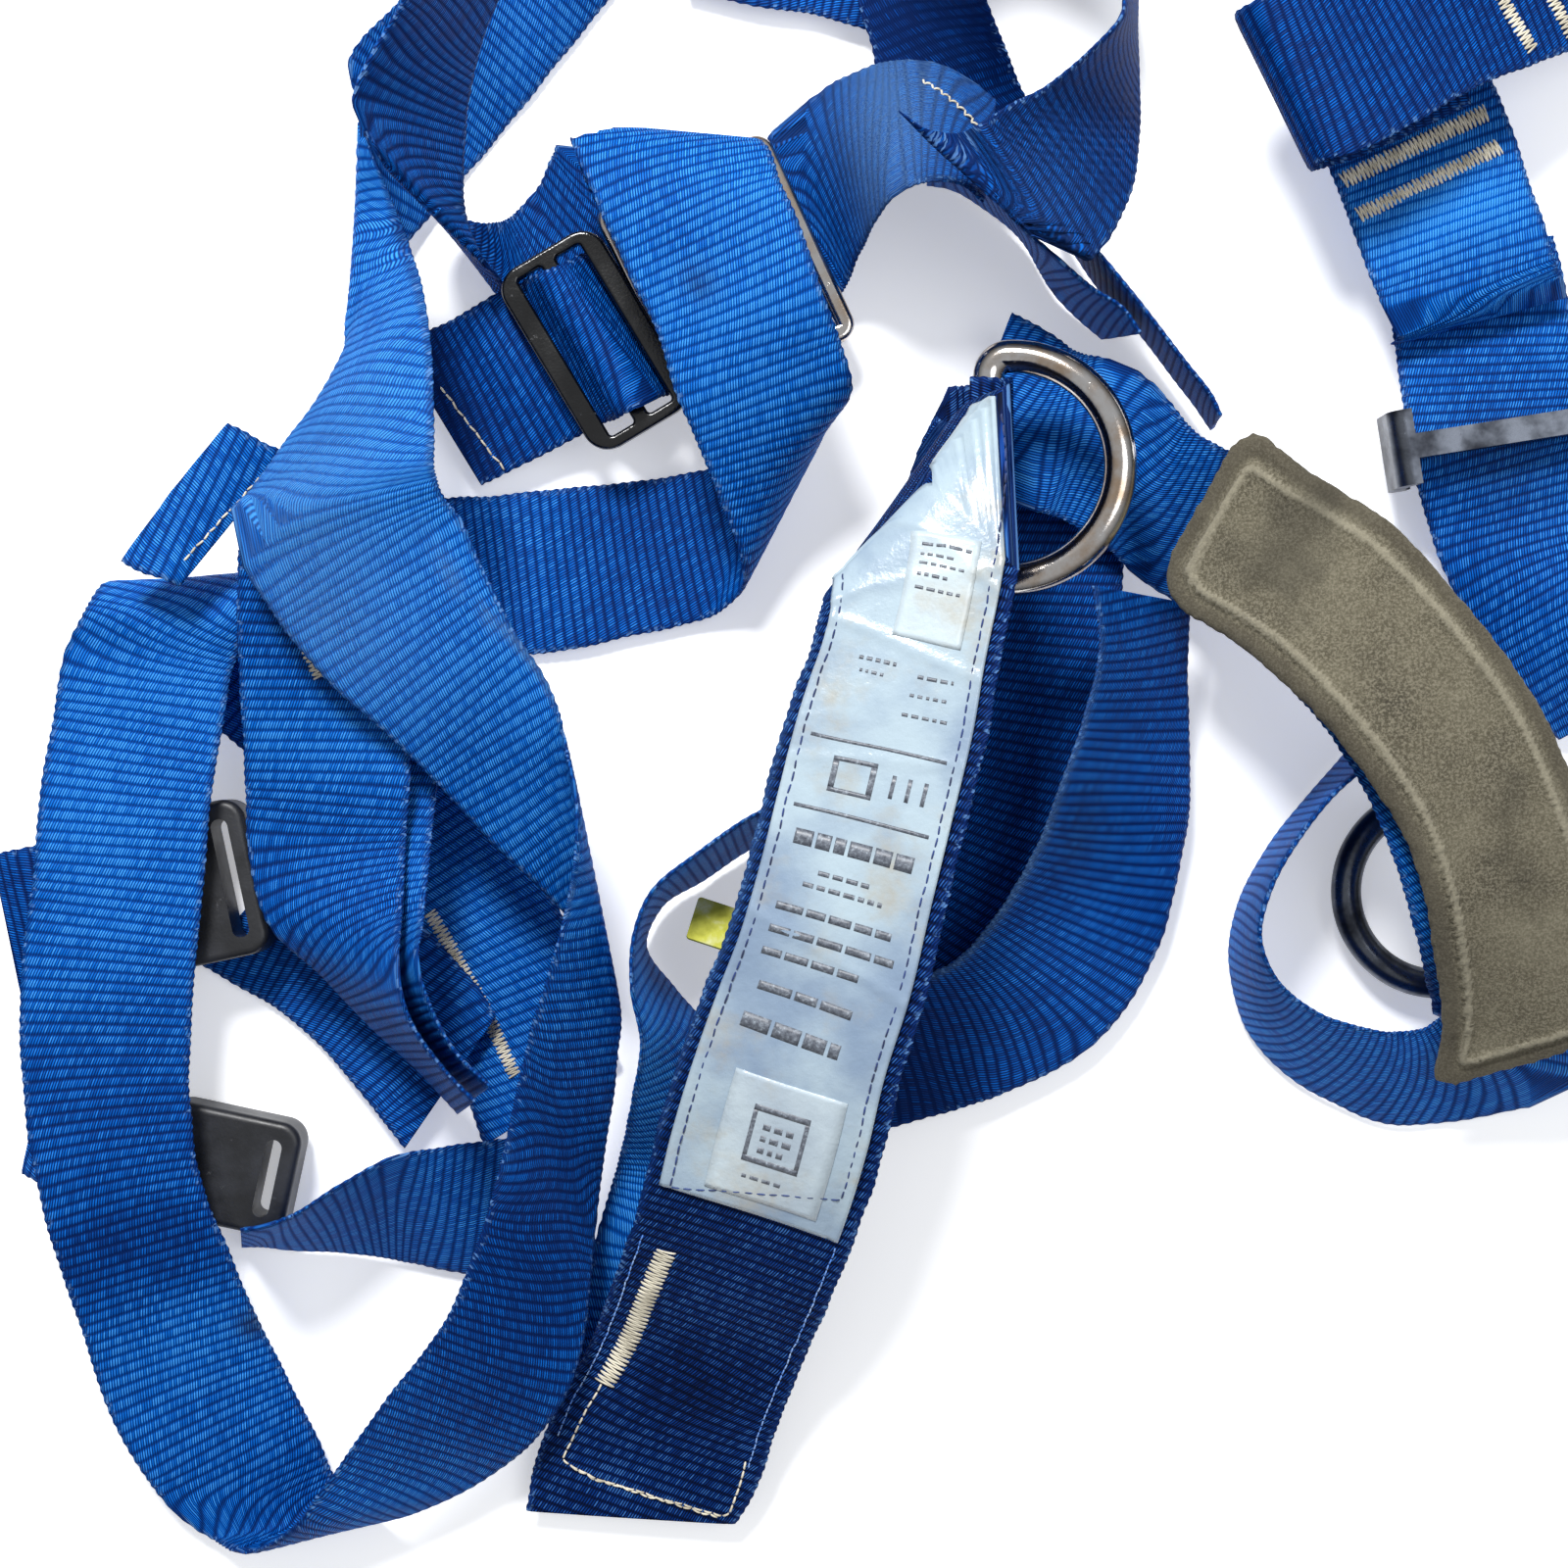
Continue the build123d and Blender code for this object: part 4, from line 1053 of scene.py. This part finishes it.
# The last colour of each webbing is a painted sheen on the brightest yarns.
blues = [colour(0, 28, 80), colour(0, 66, 146), colour(4, 106, 206), colour(62, 150, 228)]
sleeve_blues = [colour(0, 8, 32), colour(0, 24, 76), colour(4, 56, 132), colour(60, 112, 176)]
webbing_blue = webbing_look("webbing_blue", *blues)
webbing_sleeve = webbing_look("webbing_sleeve", *sleeve_blues)
thread_cream = thread_look("thread_cream", colour(226, 218, 196), colour(176, 168, 148))
thread_navy = thread_look("thread_navy", colour(34, 60, 122), colour(16, 30, 70))
thread_blue = thread_look("thread_blue", colour(70, 130, 214), colour(150, 180, 220))
# The second colour of each label is its painted shade.
label_white = label_look("label_white", colour(172, 190, 200), colour(124, 144, 168))
sticker_white = label_look("sticker_white", colour(194, 208, 214), colour(164, 178, 190))
label_ink = print_look()
suede = suede_look()
# Painted reflection: the chrome's tan second colour stands in for the warm surroundings it mirrors.
chrome = metal_look("chrome_look", colour(206, 204, 202), colour(172, 150, 128), 0.07, 0.18, 0.5)
dark_steel = metal_look("dark_steel_look", colour(92, 96, 104), colour(40, 42, 48), 0.24, 0.4, 0.6)
glossy_black = plastic_look("glossy_black", colour(10, 11, 12), colour(3, 3, 4), 0.12, 0.24)
matte_black = plastic_look("matte_black", colour(30, 32, 38), colour(12, 13, 17), 0.36, 0.52)


# ---- spots, stitches, print

# Each spot is a strap, a station, a share of the width, its reach along and across in mm, and an amount.
spots = {
    "wear": [
        ("strap_a", 12, 0.3, 42, 22, 0.6),
        ("strap_a", 14, 0.2, 30, 18, 0.6),
        ("chest_strap", 20, 0.3, 18, 60, 1.0),
        ("yoke_strap", 15, 0.4, 20, 30, 0.15),
        ("shoulder_strap_c", 5, 0.0, 70, 1.8, 1.0),
        ("strap_a", 17, 1.0, 90, 1.6, 0.7),
        ("extension_strap", 18, 0.0, 60, 1.6, 0.5),
    ],
    "dirt": [
        ("strap_a", 36.7, 0.05, 5, 4, 0.9),
        ("strap_c", 6.4, 0.35, 6, 4, 0.7),
        ("hip_lower", 5, 0.5, 20, 16, 0.4),
        ("shoulder_strap_c", 4, 0.2, 22, 9, 0.6),
    ],
    # Bright spots are painted light on straps that catch more of the lamp.
    "bright": [
        ("hip_drop", 4, 0.5, 12, 30, 0.7),
        ("strap_a", 43, 0.4, 40, 40, 0.1),
        ("strap_a", 12, 0.5, 60, 60, 0.3),
        ("back_strap", 2.3, 0.5, 18, 60, 0.45),
        ("strap_c", 6.5, 0.5, 60, 60, 0.3),
        ("leg_loop_strap", 8, 0.9, 60, 9, 0.6),
    ],
    # Dark spots are painted shadow on straps that lie in shade.
    "dark": [
        ("strap_a", 38, 0.6, 17, 40, 0.8),
        ("strap_a", 33, 0.5, 30, 60, 0.35),
        ("strap_a", 27, 0.7, 60, 34, 0.9),
        ("strap_a", 39.5, 0.5, 34, 60, 0.45),
        ("shoulder_strap_c", 9.8, 0.5, 22, 60, 0.85),
        ("shoulder_strap_c", 8.2, 0.0, 20, 16, 0.5),
        ("chest_strap", 0, 0.5, 13, 60, 0.9),
        ("yoke_strap", 3, 0.5, 30, 60, 0.5),
        ("strap_c", 14.6, 0.5, 30, 60, 0.35),
        ("extension_strap", 25.5, 0.6, 14, 16, 0.4),
    ],
}

# Straps that move with a buckle's tongue. The rest are part of the harness.
strap_bodies = {"leg_tail_1": "tongue_1", "leg_tail_2": "tongue_2"}

# How much brighter or darker than the rest a whole strap is: painted light and shade, for straps lit more or
# lying in shade
painted_strap_shading = {
    "strap_a": 0.1,
    "strap_b": -0.34,
    "strap_c": -0.06,
    "chest_strap": -0.36,
    "yoke_strap": -0.7,
    "cross_strap": -0.3,
    "hip_strap": -0.6,
    "hip_lower": -0.1,
    "back_strap": -0.22,
    "shoulder_strap_c": -0.34,
    "shoulder_strap_d": -0.5,
    "leg_strap_upper": -0.2,
    "leg_tail_1": -0.45,
    "side_strap": -0.3,
    "keeper_strap": -0.15,
    "extension_strap": -0.1,
}

# Creases of the label: length along the sleeve, slant and height in mm
label_creases = [(92, 0.5, 0.5), (104, -0.3, 0.4), (121, 0.2, 0.45), (150, -0.15, 0.3), (199, 0.25, 0.35)]

# Cream thread: the piece, the strap and its rows. A row is its marks, each a station and a share of the
# width, then the stitch length and the zigzag's width in mm.
cream_rows = [
    ("sleeve_bar_tack", "extension_strap", [([(23.6, 0.19), (25.5, 0.16)], 0.7, 6.0)]),
    (
        "sleeve_box_stitches",
        "extension_strap",
        [
            ([(25.5, 0.15), (26.8, 0.12), (27.75, 0.94), (26.5, 0.91)], 2.7, 0),
            ([(26.85, 0.16), (27.78, 0.90)], 2.4, 0.5),
        ],
    ),
    ("leg_bar_tack", "strap_a", [([(52.1, 0.72), (54.33, 0.66)], 0.62, 4.2)]),
    (
        "back_bar_tack",
        "back_strap",
        [([(0.98, 0.36), (1.58, 0.48)], 0.6, 3.8), ([(1.56, 0.48), (1.6, 0.64)], 1.4, 0.6)],
    ),
    (
        "hip_drop_stitches",
        "hip_drop",
        [([(2.48, 0.04), (2.48, 0.9)], 0.6, 5.2), ([(3.33, 0.05), (3.18, 0.9)], 0.6, 5.2)],
    ),
    (
        "hip_strap_stitches",
        "hip_strap",
        [([(2.1, 0.5), (1.9, 0.08)], 0.65, 4.6), ([(1.43, 0.45), (1.33, 0.08)], 0.65, 4.6)],
    ),
    ("tab_stitches", "end_tab", [([(0.85, 0.85), (0.15, 0.15)], 2.4, 0.3)]),
    (
        "chest_stitches",
        "chest_strap",
        [([(0.35, 0.35), (0.53, 0.98)], 2.4, 0.3), ([(20.85, 0.19), (22.6, 0.46)], 1.5, 1.4)],
    ),
]

# Rows of the finer threads round the label and along the sleeve's sides
label_rows = [
    ([(12.3, 0.12), (22.72, 0.12)], 3.0, 0),
    ([(12.3, 0.88), (22.72, 0.88)], 3.0, 0),
    ([(22.72, 0.12), (22.72, 0.88)], 3.0, 0),
]
side_rows = [([(23.4, 0.93), (26.6, 0.93)], 1.9, 0), ([(23.4, 0.06), (26.4, 0.06)], 1.9, 0)]

# Lines of print on the label, which stand in for its text and signs: first station, height in stations,
# first and last share of the sleeve's width, and the longest block as a share. 1 is a line in one piece.
ink_lines = [
    (16.74, 0.05, 0.16, 0.84, 1),
    (17.72, 0.05, 0.16, 0.84, 1),
    (15.5, 0.06, 0.3, 0.5, 0.04),
    (15.7, 0.05, 0.32, 0.46, 0.03),
    (15.6, 0.06, 0.62, 0.8, 0.05),
    (15.9, 0.05, 0.6, 0.78, 0.03),
    (16.2, 0.05, 0.58, 0.8, 0.04),
    (17.0, 0.06, 0.3, 0.52, 1),
    (17.42, 0.06, 0.3, 0.52, 1),
    (17.06, 0.36, 0.3, 0.33, 1),
    (17.06, 0.36, 0.49, 0.52, 1),
    (17.1, 0.3, 0.6, 0.62, 1),
    (17.1, 0.3, 0.68, 0.7, 1),
    (17.1, 0.3, 0.76, 0.78, 1),
    (18.04, 0.2, 0.2, 0.8, 0.12),
    (18.5, 0.06, 0.36, 0.62, 0.06),
    (18.68, 0.06, 0.3, 0.7, 0.06),
    (19.0, 0.1, 0.2, 0.78, 0.14),
    (19.3, 0.1, 0.2, 0.82, 0.16),
    (19.6, 0.1, 0.2, 0.68, 0.12),
    (20.04, 0.12, 0.24, 0.7, 0.2),
    (20.5, 0.2, 0.22, 0.7, 0.14),
]
sticker_ink_lines = [
    (13.55, 0.06, 0.5, 0.76, 0.1),
    (13.75, 0.05, 0.5, 0.7, 0.04),
    (13.92, 0.05, 0.5, 0.74, 0.05),
    (14.1, 0.05, 0.5, 0.66, 0.04),
    (14.3, 0.05, 0.5, 0.74, 0.05),
    (21.55, 0.08, 0.4, 0.66, 1),
    (22.25, 0.08, 0.4, 0.66, 1),
    (21.63, 0.62, 0.4, 0.42, 1),
    (21.63, 0.62, 0.64, 0.66, 1),
    (21.78, 0.08, 0.46, 0.6, 0.04),
    (21.94, 0.08, 0.46, 0.6, 0.05),
    (22.1, 0.08, 0.46, 0.6, 0.04),
    (22.5, 0.05, 0.42, 0.62, 0.04),
]
# First and last station, first and last share
stickers = [(13.35, 15.1, 0.44, 0.8), (21.2, 22.82, 0.27, 0.8)]
block_gap = 0.018


def blocks_of(lines, seed):
    """Breaks each line of the print into blocks of uneven length, with small gaps."""
    chance = random.Random(seed)
    blocks = []
    for station, tall, first, last, longest in lines:
        share = first
        while share < last - 0.01:
            end = last if longest == 1 else min(share + chance.uniform(0.45, 1) * longest, last)
            blocks.append((station, station + tall, share, end))
            share = end + block_gap
    return blocks


# ---- the harness

for number, name in enumerate(routes):
    if name != "wear_pad":
        look = webbing_sleeve if name == "extension_strap" else webbing_blue
        strap = make_strap(name, look, number, strap_bodies.get(name, "harness"))

for name, strap, rows in cream_rows:
    make_stitches(name, strap, rows, thread_cream)

label = make_label(label_white)
label_start = bands["extension_strap"].along(label_stations[0])
label_length = bands["extension_strap"].along(label_stations[1]) - label_start
make_stitches("label_stitches", "extension_strap", label_rows, thread_navy, label_top - 0.2, 0.24)
make_stitches("sleeve_side_stitches", "extension_strap", side_rows, thread_blue, radius=0.2)
make_print("label_stickers", stickers, sticker_white, ink_lift, sticker_thickness)
make_print("label_print", blocks_of(ink_lines, 3), label_ink, ink_lift, ink_thickness)
make_print("sticker_print", blocks_of(sticker_ink_lines, 4), label_ink, sticker_ink_lift, ink_thickness)
make_pad(suede)

cad_looks = {
    "dorsal_d_ring": chrome,
    "chest_link": chrome,
    "attachment_ring": dark_steel,
    "hip_adjuster": dark_steel,
    "chest_slider": glossy_black,
    "buckle_1_housing": matte_black,
    "buckle_1_tongue": matte_black,
    "buckle_2_housing": matte_black,
    "buckle_2_tongue": matte_black,
    "size_tag": tag_look(),
}
for name, look in cad_looks.items():
    node = bpy.data.objects[name]
    for slot in node.material_slots:
        slot.material = look
    if not node.material_slots:
        node.data.materials.append(look)


# ---- floor, light and camera


def add_floor(size):
    corners = [(-size, -size, 0), (size, -size, 0), (size, size, 0), (-size, size, 0)]
    mesh = bpy.data.meshes.new("floor")
    mesh.from_pydata(corners, [], [(0, 1, 2, 3)])
    mesh.materials.append(floor_look())
    floor = bpy.data.objects.new("floor", mesh)
    bpy.context.scene.collection.objects.link(floor)


def add_light(name, place, size, power, tint=(1, 1, 1)):
    """A round soft light at a place in metres, which shines at the middle of the floor."""
    data = bpy.data.lights.new(name, "AREA")
    data.shape = "DISK"
    data.size = size
    data.energy = power
    data.color = tint
    light = bpy.data.objects.new(name, data)
    light.location = place
    light.rotation_euler = (-Vector(place)).to_track_quat("-Z", "Y").to_euler()
    bpy.context.scene.collection.objects.link(light)


add_floor(floor_reach)
add_light("key", (-0.25, 0.85, 1.1), 0.35, 25)
add_light("fill", (0.7, 0.1, 1.4), 0.9, 5, (0.95, 0.97, 1))

# The sky is white overhead and dark near the horizon, which gives the metal something to mirror.
world = bpy.data.worlds.new("studio")
world.use_nodes = True
sky = world.node_tree
above = sky.nodes.new("ShaderNodeTexCoord")
height = sky.nodes.new("ShaderNodeSeparateXYZ")
sky.links.new(above.outputs["Generated"], height.inputs[0])
shades = sky.nodes.new("ShaderNodeValToRGB")
sky.links.new(height.outputs["Z"], shades.inputs[0])
shades.color_ramp.elements[0].position = 0.05
shades.color_ramp.elements[0].color = (0.05, 0.055, 0.065, 1)
shades.color_ramp.elements[1].position = 0.75
shades.color_ramp.elements[1].color = (0.95, 0.97, 1, 1)
sky.links.new(shades.outputs[0], sky.nodes["Background"].inputs[0])
sky.nodes["Background"].inputs[1].default_value = 0.55
bpy.context.scene.world = world
bpy.context.scene.view_settings.view_transform = "Standard"

camera_data = bpy.data.cameras.new("camera")
camera_data.sensor_width = sensor_width
camera_data.lens = sensor_width * camera_place[2] / frame_width
camera_data.clip_start = 0.01
camera = bpy.data.objects.new("camera", camera_data)
camera.location = camera_place
bpy.context.scene.collection.objects.link(camera)
bpy.context.scene.camera = camera
